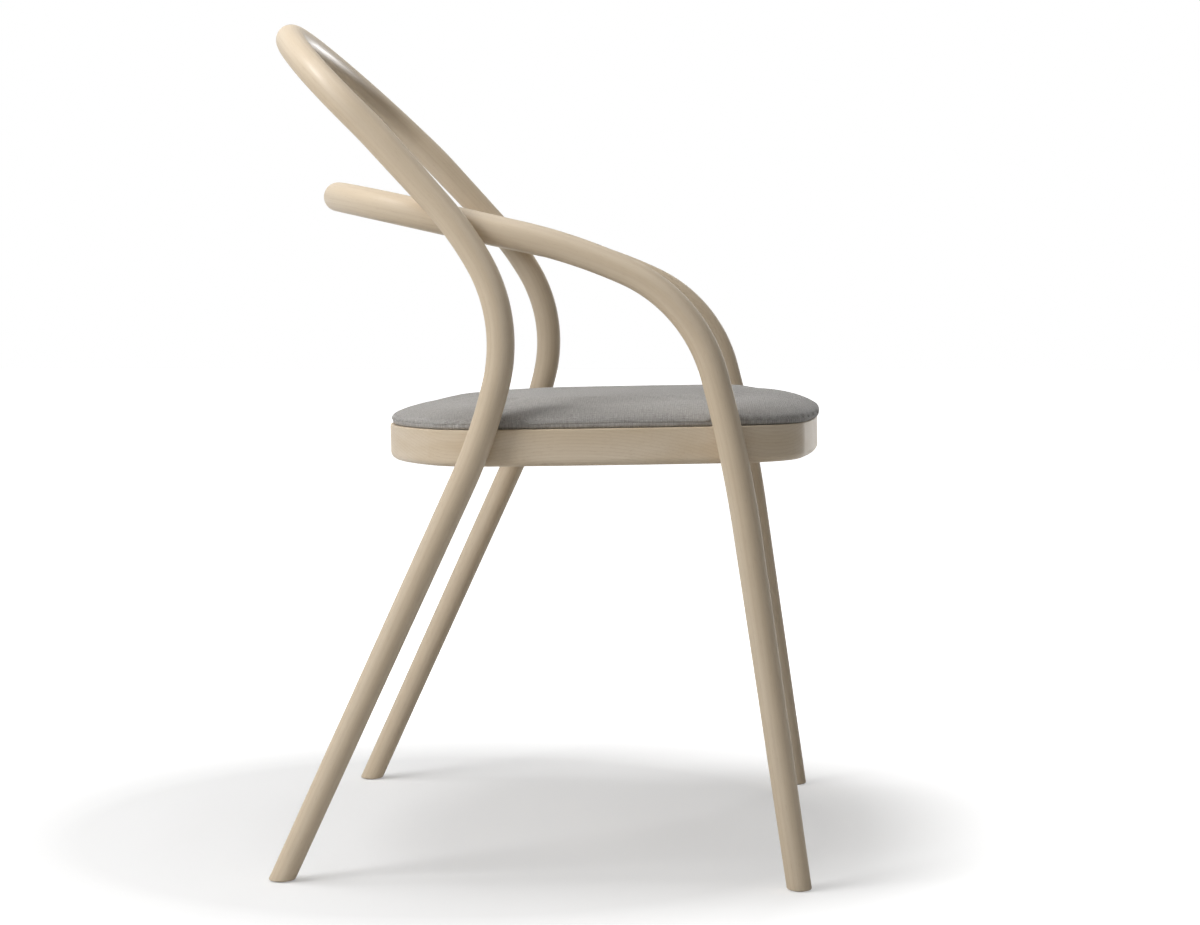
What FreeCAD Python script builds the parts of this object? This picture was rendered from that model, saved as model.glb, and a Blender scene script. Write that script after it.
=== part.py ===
import FreeCAD, Part
import math
import os
import re
import Sketcher
from FreeCAD import Placement, Rotation, Vector

# A bentwood dining armchair.  Two long bent rods carry everything: the back
# bow is both rear legs and the back loop, the arm bow is both front legs, the
# arms and the rail behind the back.  A bent seat ring is bolted between the
# legs from the inside and carries an upholstered board.
# Millimetres.  X runs across, the front is -Y, the floor is Z = 0.

doc = FreeCAD.newDocument("armchair")
sheet = doc.addObject("Spreadsheet::Sheet", "Dimensions")
sheet.Label = "Dimensions"

SIZES = [
    # back bow
    ("overall_height", 820),
    ("back_lean", 42.7),
    ("arch_lean", 46),
    ("arch_blend_radius", 600),
    ("stile_spread", 7.2),
    ("shoulder_radius", 121),
    ("crown_angle", 40),
    ("lumbar_height", 527),
    ("lumbar_radius", 154),
    ("lumbar_ease_above", 342),
    ("lumbar_share_above", 0.18),
    ("lumbar_ease_below", 520),
    ("lumbar_share_below", 0.16),
    ("top_diameter", 27.5),
    ("lumbar_diameter", 25.4),
    ("rear_foot_diameter", 23),
    # arm bow
    ("arm_corner_height", 562),
    ("arm_slope", 12.5),
    ("arm_bend_radius", 147.5),
    ("arm_ease_rear", 535),
    ("arm_share_rear", 0.17),
    ("arm_ease_leg", 1270),
    ("arm_share_leg", 0.1),
    ("rail_overhang", 149.5),
    ("rail_crown_angle", 40),
    ("rail_shoulder_radius", 120),
    ("rail_diameter", 29),
    ("arm_bend_diameter", 26),
    ("front_foot_diameter", 23),
    # feet
    ("rear_foot_reach", 231.5),
    ("front_foot_reach", 251.5),
    ("rear_splay", 12),
    ("front_splay", 13),
    ("foot_clearance", 1),
    ("foot_rounding", 1.8),
    # seat ring
    ("ring_top", 421.9),
    ("seat_tilt", 1.1),
    ("seat_width", 470),
    ("seat_depth", 431.5),
    ("seat_front", 269),
    ("seat_widest", 189),
    ("front_edge_radius", 1000),
    ("side_radius", 1500),
    ("rear_edge_radius", 338),
    ("front_corner_radius", 77),
    ("rear_corner_radius", 80),
    ("ring_height", 34.5),
    ("ring_wall", 20),
    ("ring_lower_rounding", 7),
    ("ring_upper_rounding", 1.5),
    ("front_leg_setback", 79),
    ("rear_leg_setback", 115),
    ("leg_flat_depth", 1.2),
    # joint between arm and stile
    ("crossing_flat_depth", 1),
    ("crossing_flat_diameter", 36),
    ("arm_screw_diameter", 4),
    ("arm_screw_head_diameter", 8.5),
    ("arm_screw_head_height", 3),
    ("arm_screw_head_depth", 5),
    ("arm_screw_bite", 20),
    ("plug_diameter", 10),
    # leg blocks and leg bolts
    ("block_length", 64),
    ("block_depth", 28),
    ("block_drop", 2),
    ("block_rise", 4),
    ("bolt_diameter", 6),
    ("bolt_head_diameter", 11),
    ("bolt_head_height", 4),
    ("bolt_bite", 11),
    ("washer_diameter", 18),
    ("washer_thickness", 1.6),
    ("insert_diameter", 10),
    ("insert_length", 13),
    ("running_gap", 0.3),
    # seat pad
    ("cover_thickness", 1.2),
    ("cover_wrap", 30),
    ("board_thickness", 8),
    ("board_inset", 8),
    ("board_rounding", 2),
    ("pad_crown", 26.3),
    ("pad_front_inset", -1.4),
    ("pad_rear_inset", 2.5),
    ("pad_side_inset", 4.5),
    ("pad_front_roll", 21),
    ("pad_rear_roll", 32),
    ("pad_side_roll", 26),
    ("pad_swell", 1.2),
    ("pad_tuck", 1.5),
    ("seat_bolt_offset", 18),
    ("seat_bolt_sink", 7),
    ("seat_bolt_shortfall", 1),
    ("seat_washer_diameter", 14),
    ("seat_washer_thickness", 1.2),
    ("nut_flange_diameter", 17),
    ("nut_flange_thickness", 1.4),
    ("nut_barrel_diameter", 8.6),
    ("nut_barrel_length", 6),
    # foot glides
    ("glide_diameter", 15),
    ("glide_height", 4),
    ("glide_chamfer", 0.6),
    ("glide_pin_diameter", 2.6),
    ("glide_pin_length", 13),
]
for row, (alias, value) in enumerate(SIZES, start=1):
    sheet.set("A%d" % row, alias)
    sheet.set("B%d" % row, str(value))
    sheet.setAlias("B%d" % row, alias)
doc.recompute()


def size(alias):
    return float(getattr(sheet, alias))


def angle(alias):
    return math.radians(size(alias))


def bind(obj, prop, expression):
    """Bind a property to the sheet; a name that starts with a dot is a cell."""
    obj.setExpression(prop, re.sub(r"\.(?=[a-z])", "Dimensions.", expression))


def mirrored(point):
    return Vector(-point.x, point.y, point.z)


def unit(vector):
    copy = Vector(vector)
    copy.normalize()
    return copy


ACROSS = Vector(1, 0, 0)
UP = Vector(0, 0, 1)
# legs run on past the floor before they are cut level
FOOT_SPARE = 16
# cutting tools start this far outside the face they enter
OVERRUN = 5

# seat outline: four large arcs joined by four corner arcs
FRONT_Y = -size("seat_front")
REAR_Y = FRONT_Y + size("seat_depth")
SEAT = Placement(
    Vector(0, 0, size("ring_top")),
    Rotation(ACROSS, -size("seat_tilt")),
)


class Outline:
    """Centres and radii of the seat outline, drawn in by front, rear and side."""

    def __init__(self, front=0.0, rear=0.0, side=0.0):
        self.near = FRONT_Y + front
        self.far = REAR_Y - rear
        self.half = size("seat_width") / 2 - side
        # end arcs keep their share of the width, side arcs of the depth
        wide = self.half * 2 / size("seat_width")
        deep = (self.far - self.near) / size("seat_depth")
        self.front_radius = size("front_edge_radius") * wide
        self.rear_radius = size("rear_edge_radius") * wide
        self.side_radius = size("side_radius") * deep
        self.front_corner = size("front_corner_radius") * min(wide, deep)
        self.rear_corner = size("rear_corner_radius") * min(wide, deep)
        widest = self.near + size("seat_widest") * deep
        self.front_centre = Vector(0, self.near + self.front_radius, 0)
        self.rear_centre = Vector(0, self.far - self.rear_radius, 0)
        self.side_centre = Vector(self.half - self.side_radius, widest, 0)
        self.front_corner_centre = self.corner(
            self.front_centre, self.front_radius, self.front_corner, -1
        )
        self.rear_corner_centre = self.corner(
            self.rear_centre, self.rear_radius, self.rear_corner, 1
        )

    def corner(self, centre, radius, corner_radius, way):
        """Centre of the arc that rounds an end arc into the side arc."""
        a = radius - corner_radius
        b = self.side_radius - corner_radius
        apart = self.side_centre - centre
        gap = apart.Length
        along = (gap * gap + a * a - b * b) / (2 * gap)
        off = math.sqrt(a * a - along * along)
        ex = unit(apart)
        ey = Vector(-ex.y, ex.x, 0)
        one = centre + ex * along + ey * off
        two = centre + ex * along - ey * off
        return max((one, two), key=lambda p: p.x + way * p.y)

    def arcs(self, inset=0.0):
        """Centre, radius, first and last angle of the eight arcs, turning left."""
        def heading(start, end):
            return math.atan2(end.y - start.y, end.x - start.x)

        f = heading(self.front_centre, self.front_corner_centre)
        fs = heading(self.side_centre, self.front_corner_centre)
        rs = heading(self.side_centre, self.rear_corner_centre)
        r = heading(self.rear_centre, self.rear_corner_centre)
        half_turn = math.pi
        right = [
            (self.front_corner_centre, self.front_corner, f, fs),
            (self.side_centre, self.side_radius, fs, rs),
            (self.rear_corner_centre, self.rear_corner, rs, r),
        ]
        left = [
            (mirrored(c), radius, half_turn - b, half_turn - a)
            for c, radius, a, b in reversed(right)
        ]
        front = (self.front_centre, self.front_radius, -half_turn - f, f)
        rear = (self.rear_centre, self.rear_radius, r, half_turn - r)
        ring = [front] + right + [rear] + left
        return [(c, radius - inset, a, b) for c, radius, a, b in ring]

    def wire(self, height):
        """The outline as a closed wire at a height."""
        edges = []
        for centre, radius, first, last in self.arcs():
            circle = Part.Circle(centre + UP * height, UP, radius)
            edges.append(Part.ArcOfCircle(circle, first, last).toShape())
        return Part.Wire(edges)


EDGE = Outline()


def half_width(y):
    """Half the width of the seat on its long side arc."""
    radius = size("side_radius")
    off = y - (FRONT_Y + size("seat_widest"))
    return size("seat_width") / 2 - (radius - math.sqrt(radius * radius - off * off))


def outline_sketch(body, name, inset, height):
    """A fully constrained sketch of the outline, inset by an expression."""
    sketch = body.newObject("Sketcher::SketchObject", name)
    plane = [f for f in body.Origin.OriginFeatures if f.Role == "XY_Plane"][0]
    sketch.AttachmentSupport = [(plane, "")]
    sketch.MapMode = "FlatFace"
    if height:
        bind(sketch, "AttachmentOffset.Base.z", height)
    start = inset_value(inset)
    for centre, radius, first, last in EDGE.arcs(start):
        circle = Part.Circle(centre, UP, radius)
        sketch.addGeometry(Part.ArcOfCircle(circle, first, last), False)
    for index in range(8):
        link = Sketcher.Constraint("Tangent", index, 2, (index + 1) % 8, 1)
        sketch.addConstraint(link)
    names = ["front_edge_radius", "front_corner_radius", "side_radius", "rear_corner_radius"]
    order = names + ["rear_edge_radius"] + names[:0:-1]
    for index, (cell, arc) in enumerate(zip(order, EDGE.arcs(start))):
        number = sketch.addConstraint(Sketcher.Constraint("Radius", index, arc[1]))
        bind(sketch, "Constraints[%d]" % number, " .%s - (%s)" % (cell, inset))
    side_x = " .seat_width / 2 - .side_radius"
    side_y = " .seat_widest - .seat_front"
    centres = [
        (0, None, " .front_edge_radius - .seat_front"),
        (2, side_x, side_y),
        (4, None, " .seat_depth - .seat_front - .rear_edge_radius"),
        (6, " .side_radius - .seat_width / 2", side_y),
    ]
    for index, x_rule, y_rule in centres:
        centre = EDGE.arcs(start)[index][0]
        if x_rule is None:
            sketch.addConstraint(Sketcher.Constraint("PointOnObject", index, 3, -2))
        else:
            rule = Sketcher.Constraint("DistanceX", index, 3, centre.x)
            number = sketch.addConstraint(rule)
            bind(sketch, "Constraints[%d]" % number, x_rule)
        rule = Sketcher.Constraint("DistanceY", index, 3, centre.y)
        number = sketch.addConstraint(rule)
        bind(sketch, "Constraints[%d]" % number, y_rule)
    return sketch


def inset_value(expression):
    """The number an inset expression stands for: cells added together."""
    total = 0.0
    for word in expression.split("+"):
        word = word.strip()
        total += size(word[1:]) if word.startswith(".") else float(word)
    return total


def cylinder(name, radius, height, base, axis):
    """A cylinder bound to the sheet, standing on a base point along an axis."""
    obj = doc.addObject("Part::Cylinder", name)
    bind(obj, "Radius", " " + radius)
    bind(obj, "Height", " " + height)
    obj.Placement = Placement(base, Rotation(UP, axis))
    return obj


def joined(name, shapes):
    obj = doc.addObject("Part::MultiFuse", name)
    obj.Shapes = shapes
    return obj


def cut(name, base, tools):
    obj = doc.addObject("Part::Cut", name)
    obj.Base = base
    obj.Tool = tools[0] if len(tools) == 1 else joined(name + "_tools", tools)
    return obj


def group(name, members):
    obj = doc.addObject("Part::Compound", name)
    obj.Links = members
    return obj


# bent rods: each is a run of straights and arcs with a round section
class Rod:
    def __init__(self):
        self.edges = []
        self.solids = []

    def straight(self, start, end, start_radius, end_radius, spare=0.0):
        """A straight run that tapers; spare carries it on past its end."""
        along = unit(end - start)
        length = (end - start).Length
        self.edges.append(Part.makeLine(start, end))
        slope = (end_radius - start_radius) / length
        tip = end + along * spare
        tip_radius = end_radius + slope * spare
        out = unit(along.cross(ACROSS))
        corners = [start, start + out * start_radius, tip + out * tip_radius, tip, start]
        face = Part.Face(Part.makePolygon(corners))
        self.solids.append(face.revolve(start, along, 360))

    def arc(self, start, heading, centre, axis, turn, radius, end_radius=None):
        """A bend about an axis through its centre; turn is in radians."""
        spin = Rotation(axis, math.degrees(turn))
        half = Rotation(axis, math.degrees(turn) / 2)
        middle = centre + half.multVec(start - centre)
        end = centre + spin.multVec(start - centre)
        edge = Part.Arc(start, middle, end).toShape()
        self.edges.append(edge)
        first = Part.Wire(Part.makeCircle(radius, start, heading))
        if end_radius is None:
            solid = Part.Face(first).revolve(centre, axis, math.degrees(turn))
        else:
            last = Part.Wire(Part.makeCircle(end_radius, end, spin.multVec(heading)))
            sweep = Part.BRepOffsetAPI.MakePipeShell(Part.Wire(edge))
            sweep.add(first)
            sweep.add(last)
            sweep.build()
            sweep.makeSolid()
            solid = sweep.shape()
        self.solids.append(solid)
        return end, spin.multVec(heading)

    def path(self):
        return Part.Compound(self.edges)

    def whole(self):
        """Both halves as one solid."""
        mirror = [s.mirror(Vector(0, 0, 0), ACROSS) for s in self.solids]
        pieces = self.solids + mirror
        return pieces[0].multiFuse(pieces[1:]).removeSplitter()


def bend_plan(corner, heading, leaving, arcs):
    """Start and end of a bend made of arcs (radius, share of the turn)."""
    turn = heading.getAngle(leaving)
    sideways = unit(leaving - heading * leaving.dot(heading))
    along = 0.0
    off = 0.0
    done = 0.0
    for radius, share in arcs:
        after = done + turn * share
        along += radius * (math.sin(after) - math.sin(done))
        off += radius * (math.cos(done) - math.cos(after))
        done = after
    reach_out = off / math.sin(turn)
    reach_in = along - reach_out * math.cos(turn)
    axis = unit(heading.cross(sideways))
    return corner - heading * reach_in, axis, turn


def across(heading, axis):
    """The direction from a bend's path to its centre."""
    return unit(axis.cross(heading))


# where the legs cross the ring, and the lines they stand on
ring_middle = -size("ring_height") / 2
flat = size("leg_flat_depth")


def leg_line(y, radius, splay, foot_y, corner_height):
    """Foot, and the point at which the leg's line reaches a height."""
    level = SEAT.multVec(Vector(0, y, ring_middle))
    at_ring = Vector(half_width(y) + radius - flat, level.y, level.z)
    foot = Vector(at_ring.x + splay, foot_y, 0)
    return foot, foot + (at_ring - foot) * (corner_height / at_ring.z)


# back bow, right half, from the apex down to the foot
lumbar_radius = size("lumbar_diameter") / 2
top_radius = size("top_diameter") / 2
rear_y = REAR_Y - size("rear_leg_setback")
rear_foot, lumbar = leg_line(
    rear_y, lumbar_radius, size("rear_splay"), size("rear_foot_reach"), size("lumbar_height")
)
lean = angle("back_lean")
arch_lean = angle("arch_lean")
spread = angle("stile_spread")
crown = angle("crown_angle")
low = size("shoulder_radius")
stile_up = Vector(
    -math.sin(spread),
    math.cos(spread) * math.sin(lean),
    math.cos(spread) * math.cos(lean),
)
arch_up = Vector(0, math.sin(arch_lean), math.cos(arch_lean))
arch_end_up = ACROSS * -math.sin(spread) + arch_up * math.cos(spread)
blend_reach = size("arch_blend_radius") * math.tan(stile_up.getAngle(arch_end_up) / 2)
# the stile's length follows from the overall height and the width below
side = math.cos(spread) - math.sin(crown)
flatness = (1 - math.cos(crown)) / math.sin(crown)
climb = size("overall_height") - top_radius - lumbar.z
fixed = (lumbar.x - blend_reach * math.sin(spread) - low * side) * flatness
fixed += low * (math.cos(crown) - math.sin(spread)) + blend_reach * math.cos(spread)
gain = math.cos(spread) * math.cos(lean) - math.cos(arch_lean) * math.sin(spread) * flatness
stile_length = (climb - math.cos(arch_lean) * fixed) / gain
stile_top = lumbar + stile_up * stile_length
shoulder_end = stile_top + arch_end_up * blend_reach
crown_radius = (shoulder_end.x - low * side) / math.sin(crown)
rise = crown_radius * (1 - math.cos(crown)) + low * (math.cos(crown) - math.sin(spread))
apex = Vector(0, shoulder_end.y, shoulder_end.z) + arch_up * rise

back = Rod()
arch_axis = unit(ACROSS.cross(arch_up * -1))
centre = apex - arch_up * crown_radius
point, heading = back.arc(apex, ACROSS, centre, arch_axis, crown, top_radius)
centre = point + across(heading, arch_axis) * low
turn = math.pi / 2 - spread - crown
point, heading = back.arc(point, heading, centre, arch_axis, turn, top_radius)
down = stile_up * -1
blend = size("arch_blend_radius")
start, axis, turn = bend_plan(stile_top, heading, down, [(blend, 1.0)])
centre = point + across(heading, axis) * blend
point, heading = back.arc(point, heading, centre, axis, turn, top_radius)
above = size("lumbar_share_above")
below = size("lumbar_share_below")
lumbar_arcs = [
    (size("lumbar_ease_above"), above),
    (size("lumbar_radius"), 1 - above - below),
    (size("lumbar_ease_below"), below),
]
leg_down = unit(rear_foot - lumbar)
start, axis, turn = bend_plan(lumbar, down, leg_down, lumbar_arcs)
back.straight(point, start, top_radius, lumbar_radius)
point, heading = start, down
for radius, share in lumbar_arcs:
    centre = point + across(heading, axis) * radius
    point, heading = back.arc(point, heading, centre, axis, turn * share, lumbar_radius)
back.straight(point, rear_foot, lumbar_radius, size("rear_foot_diameter") / 2, FOOT_SPARE)

# arm bow, right half, from the middle of the rail round to the foot
rail_radius = size("rail_diameter") / 2
arm_radius = size("arm_bend_diameter") / 2
front_y = FRONT_Y + size("front_leg_setback")
front_foot, arm_corner = leg_line(
    front_y, arm_radius, size("front_splay"), -size("front_foot_reach"), size("arm_corner_height")
)
slope = angle("arm_slope")
rearward = Vector(0, math.cos(slope), math.sin(slope))
centre_distance = rail_radius + lumbar_radius - 2 * size("crossing_flat_depth")
back_path = back.path()


def arm_line(spread_angle):
    aim = rearward * math.cos(spread_angle) - ACROSS * math.sin(spread_angle)
    return aim, Part.makeLine(arm_corner, arm_corner + aim * size("overall_height"))


def crossing(spread_angle):
    """Signed distance of the arm inside the stile, and the two nearest points."""
    line = arm_line(spread_angle)[1]
    distance, points, _ = line.distToShape(back_path)
    on_arm, on_stile = points[0]
    return math.copysign(distance, on_stile.x - on_arm.x), on_arm, on_stile


# the arms draw in just enough to bear on the stiles
least, most = 0.0, math.radians(30)
for _ in range(40):
    middle = (least + most) / 2
    if crossing(middle)[0] < centre_distance:
        least = middle
    else:
        most = middle
arm_spread = (least + most) / 2
aim = arm_line(arm_spread)[0]
_, arm_cross, stile_cross = crossing(arm_spread)
outward = unit(stile_cross - arm_cross)
overhang = size("rail_overhang")
rail_crown = angle("rail_crown_angle")
rail_low = size("rail_shoulder_radius")
draw_in = math.tan(arm_spread)
half = arm_cross.x - overhang * draw_in
half += rail_low * draw_in * (math.cos(rail_crown) - math.sin(arm_spread))
half -= rail_low * (math.cos(arm_spread) - math.sin(rail_crown))
rail_crown_radius = half / (math.sin(rail_crown) - draw_in * (1 - math.cos(rail_crown)))
to_rail = (arm_cross - arm_corner).dot(rearward) + overhang
rail_middle = Vector(0, arm_corner.y, arm_corner.z) + rearward * to_rail

arms = Rod()
rail_axis = unit(ACROSS.cross(rearward * -1))
centre = rail_middle - rearward * rail_crown_radius
point, heading = arms.arc(rail_middle, ACROSS, centre, rail_axis, rail_crown, rail_radius)
centre = point + across(heading, rail_axis) * rail_low
turn = math.pi / 2 - arm_spread - rail_crown
point, heading = arms.arc(point, heading, centre, rail_axis, turn, rail_radius)
share_rear = size("arm_share_rear")
share_leg = size("arm_share_leg")
arm_arcs = [
    (size("arm_ease_rear"), share_rear),
    (size("arm_bend_radius"), 1 - share_rear - share_leg),
    (size("arm_ease_leg"), share_leg),
]
forward = aim * -1
front_down = unit(front_foot - arm_corner)
start, axis, turn = bend_plan(arm_corner, forward, front_down, arm_arcs)
run = (start - point).Length
ease_run = arm_arcs[0][0] * turn * share_rear
ease_radius = rail_radius + (arm_radius - rail_radius) * run / (run + ease_run)
arms.straight(point, start, rail_radius, ease_radius)
point, heading = start, forward
tapers = [(ease_radius, arm_radius), (arm_radius, None), (arm_radius, None)]
for (radius, share), (first, last) in zip(arm_arcs, tapers):
    centre = point + across(heading, axis) * radius
    point, heading = arms.arc(point, heading, centre, axis, turn * share, first, last)
arms.straight(point, front_foot, arm_radius, size("front_foot_diameter") / 2, FOOT_SPARE)

back_blank = doc.addObject("Part::Feature", "back_blank")
back_blank.Shape = back.whole()
arm_blank = doc.addObject("Part::Feature", "arm_blank")
arm_blank.Shape = arms.whole()


def seat_crossing(rod):
    """Where a leg's middle line crosses the middle height of the ring."""
    base = SEAT.multVec(Vector(0, 0, ring_middle))
    reach = size("overall_height")
    plane = Part.makePlane(2 * reach, 2 * reach, Vector(-reach, -reach, 0), UP)
    plane.Placement = Placement(base, SEAT.Rotation).multiply(plane.Placement)
    points = [v.Point for v in rod.path().section(plane).Vertexes]
    lowest = min(points, key=lambda p: abs(p.z - base.z))
    return SEAT.inverse().multVec(lowest)


LEGS = [("rear", seat_crossing(back)), ("front", seat_crossing(arms))]
SIDES = [("right", 1), ("left", -1)]

# seat ring
ring_body = doc.addObject("PartDesign::Body", "ring_body")
ring_outer = outline_sketch(ring_body, "ring_outer", "0", None)
ring_pad = ring_body.newObject("PartDesign::Pad", "ring_pad")
ring_pad.Profile = ring_outer
ring_pad.Reversed = True
bind(ring_pad, "Length", " .ring_height")
doc.recompute()


def edges_at(shape, level):
    """Names of the edges that lie in a level plane."""
    found = []
    for number, edge in enumerate(shape.Edges, start=1):
        if all(abs(v.Z - level) < 0.01 for v in edge.Vertexes):
            found.append("Edge%d" % number)
    return found


def rounded(body, name, feature, levels, radius):
    shape = feature.Shape
    fillet = body.newObject("PartDesign::Fillet", name)
    fillet.Base = (feature, [e for level in levels for e in edges_at(shape, level)])
    bind(fillet, "Radius", " " + radius)
    doc.recompute()
    return fillet


low_edge = -size("ring_height")
ring_soft = rounded(ring_body, "ring_soft", ring_pad, [low_edge], ".ring_lower_rounding")
ring_eased = rounded(ring_body, "ring_eased", ring_soft, [0.0], ".ring_upper_rounding")
ring_inner = outline_sketch(ring_body, "ring_inner", ".ring_wall", None)
ring_hollow = ring_body.newObject("PartDesign::Pocket", "ring_hollow")
ring_hollow.Profile = ring_inner
ring_hollow.Type = "ThroughAll"
doc.recompute()

# plain prisms of the outline: what the legs and the blocks are fitted to
ring_prism_body = doc.addObject("PartDesign::Body", "ring_prism")
prism_sketch = outline_sketch(ring_prism_body, "ring_prism_sketch", "0", None)
ring_prism = ring_prism_body.newObject("PartDesign::Pad", "ring_prism_pad")
ring_prism.Profile = prism_sketch
ring_prism.Reversed = True
bind(ring_prism, "Length", " .ring_height")
inner_prism_body = doc.addObject("PartDesign::Body", "inner_prism")
inner_sketch = outline_sketch(inner_prism_body, "inner_prism_sketch", ".ring_wall", None)
inner_prism = inner_prism_body.newObject("PartDesign::Pad", "inner_prism_pad")
inner_prism.Profile = inner_sketch
inner_prism.Reversed = True
bind(inner_prism, "Length", " .ring_height")
ring_prism_body.Placement = SEAT
doc.recompute()

bolt_hole = ".bolt_diameter / 2 + .running_gap"
ring_holes = []
blocks = []
bolts = []
washers = []
inserts = []
insert_bores = {"rear": [], "front": []}
saddles = {"rear": [], "front": []}
seat_bolts = []
seat_washers = []
seat_nuts = []
board_holes = []
block_top = -size("block_drop")
block_low = -size("ring_height") + size("block_rise")
bolt_level = ring_middle
board_low = size("cover_thickness")
board_top = board_low + size("board_thickness")

for end, place in LEGS:
    for hand, way in SIDES:
        tag = end + "_" + hand
        along = ACROSS * way
        outer_face = half_width(place.y)
        block_face = outer_face - size("ring_wall") - size("block_depth")
        # through hole in the ring
        base = Vector(way * block_face, place.y, bolt_level)
        ring_holes.append(
            cylinder("ring_hole_" + tag, bolt_hole, ".ring_wall * 4", base, along)
        )
        # the stretch of the outline that the leg is cut to sit against
        stretch = doc.addObject("Part::Box", "saddle_box_" + tag)
        bind(stretch, "Length", " .ring_wall * 4")
        bind(stretch, "Width", " .block_length")
        bind(stretch, "Height", " .ring_height * 2")
        corner = Vector(
            way * outer_face - size("ring_wall") * 2,
            place.y - size("block_length") / 2,
            -size("ring_height") * 1.5,
        )
        stretch.Placement = SEAT.multiply(Placement(corner, Rotation()))
        saddle = doc.addObject("Part::Common", "saddle_" + tag)
        saddle.Base = ring_prism_body
        saddle.Tool = stretch
        saddles[end].append(saddle)
        # wooden block behind the ring, shaped to its inner face
        box = doc.addObject("Part::Box", "block_box_" + tag)
        bind(box, "Length", " .block_depth * 2")
        bind(box, "Width", " .block_length")
        bind(box, "Height", " .ring_height - .block_drop - .block_rise")
        corner_x = block_face if way > 0 else -block_face - 2 * size("block_depth")
        box.Placement.Base = Vector(corner_x, place.y - size("block_length") / 2, block_low)
        shaped = doc.addObject("Part::Common", "block_shaped_" + tag)
        shaped.Base = box
        shaped.Tool = inner_prism_body
        # bolt hole, and a hole with a sunk seat for the screw that holds the board
        seat_way = -1 if end == "rear" else 1
        seat_y = place.y + seat_way * size("seat_bolt_offset")
        seat_x = way * (block_face + size("block_depth") / 2)
        upright = Vector(seat_x, seat_y, block_low)
        before = base - along * OVERRUN
        sink_radius = ".seat_washer_diameter / 2 + .running_gap"
        tools = [
            cylinder("block_hole_" + tag, bolt_hole, ".block_depth * 3", before, along),
            cylinder("block_rise_" + tag, bolt_hole, ".ring_height * 2", upright, UP),
            cylinder("block_sink_" + tag, sink_radius, ".seat_bolt_sink", upright, UP),
        ]
        block = cut("leg_block_" + tag, shaped, tools)
        blocks.append(block)
        # washer and bolt, put in from the inside
        washer_base = base - along * size("washer_thickness")
        rim = ".washer_diameter / 2"
        disc = cylinder("washer_disc_" + tag, rim, ".washer_thickness", washer_base, along)
        eye = cylinder("washer_eye_" + tag, bolt_hole, ".washer_thickness", washer_base, along)
        washers.append(cut("washer_" + tag, disc, [eye]))
        head_base = washer_base - along * size("bolt_head_height")
        rim = ".bolt_head_diameter / 2"
        head = cylinder("bolt_head_" + tag, rim, ".bolt_head_height", head_base, along)
        reach = ".block_depth + .ring_wall + .washer_thickness + .bolt_bite"
        shank = cylinder("bolt_shank_" + tag, ".bolt_diameter / 2", reach, washer_base, along)
        bolts.append(joined("bolt_" + tag, [head, shank]))
        # threaded sleeve let into the leg behind the flat
        sleeve_base = Vector(way * outer_face, place.y, bolt_level)
        rim = ".insert_diameter / 2"
        sleeve = cylinder("insert_body_" + tag, rim, ".insert_length", sleeve_base, along)
        eye = cylinder("insert_eye_" + tag, bolt_hole, ".insert_length", sleeve_base, along)
        inserts.append(cut("insert_" + tag, sleeve, [eye]))
        rim += " + .running_gap"
        bore_reach = ".insert_length + %d" % OVERRUN
        before = sleeve_base - along * OVERRUN
        bore = cylinder("insert_bore_" + tag, rim, bore_reach, before, along)
        bore.Placement = SEAT.multiply(bore.Placement)
        insert_bores[end].append(bore)
        # screw up into the board, its washer and the flanged nut in the board
        seat_base = Vector(seat_x, seat_y, block_low + size("seat_bolt_sink"))
        below_washer = seat_base - UP * size("seat_washer_thickness")
        disc = cylinder(
            "seat_disc_" + tag, ".seat_washer_diameter / 2", ".seat_washer_thickness", below_washer, UP
        )
        eye = cylinder("seat_eye_" + tag, bolt_hole, ".seat_washer_thickness", below_washer, UP)
        seat_washers.append(cut("seat_washer_" + tag, disc, [eye]))
        rim = ".bolt_head_diameter / 2"
        head_base = below_washer - UP * size("bolt_head_height")
        head = cylinder("seat_head_" + tag, rim, ".bolt_head_height", head_base, UP)
        rise_rule = (
            ".ring_height - .block_rise - .seat_bolt_sink + .seat_washer_thickness"
            " + .cover_thickness + .board_thickness - .seat_bolt_shortfall"
        )
        shank = cylinder("seat_shank_" + tag, ".bolt_diameter / 2", rise_rule, below_washer, UP)
        seat_bolts.append(joined("seat_bolt_" + tag, [head, shank]))
        nut_top = Vector(seat_x, seat_y, board_top)
        flange_base = nut_top - UP * size("nut_flange_thickness")
        flange = cylinder(
            "nut_flange_" + tag, ".nut_flange_diameter / 2", ".nut_flange_thickness", flange_base, UP
        )
        barrel = cylinder(
            "nut_barrel_" + tag,
            ".nut_barrel_diameter / 2",
            ".nut_barrel_length + .nut_flange_thickness / 2",
            flange_base - UP * size("nut_barrel_length"),
            UP,
        )
        low_eye = nut_top - UP * size("board_thickness") * 2
        eye = cylinder("nut_eye_" + tag, bolt_hole, ".board_thickness * 3", low_eye, UP)
        seat_nuts.append(cut("nut_" + tag, joined("nut_body_" + tag, [flange, barrel]), [eye]))
        barrel_hole = ".nut_barrel_diameter / 2 + .running_gap"
        flange_hole = ".nut_flange_diameter / 2 + .running_gap"
        board_holes += [
            cylinder("board_hole_" + tag, barrel_hole, ".board_thickness * 3", low_eye, UP),
            cylinder("board_seat_" + tag, flange_hole, ".nut_flange_thickness * 2", flange_base, UP),
        ]

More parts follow.
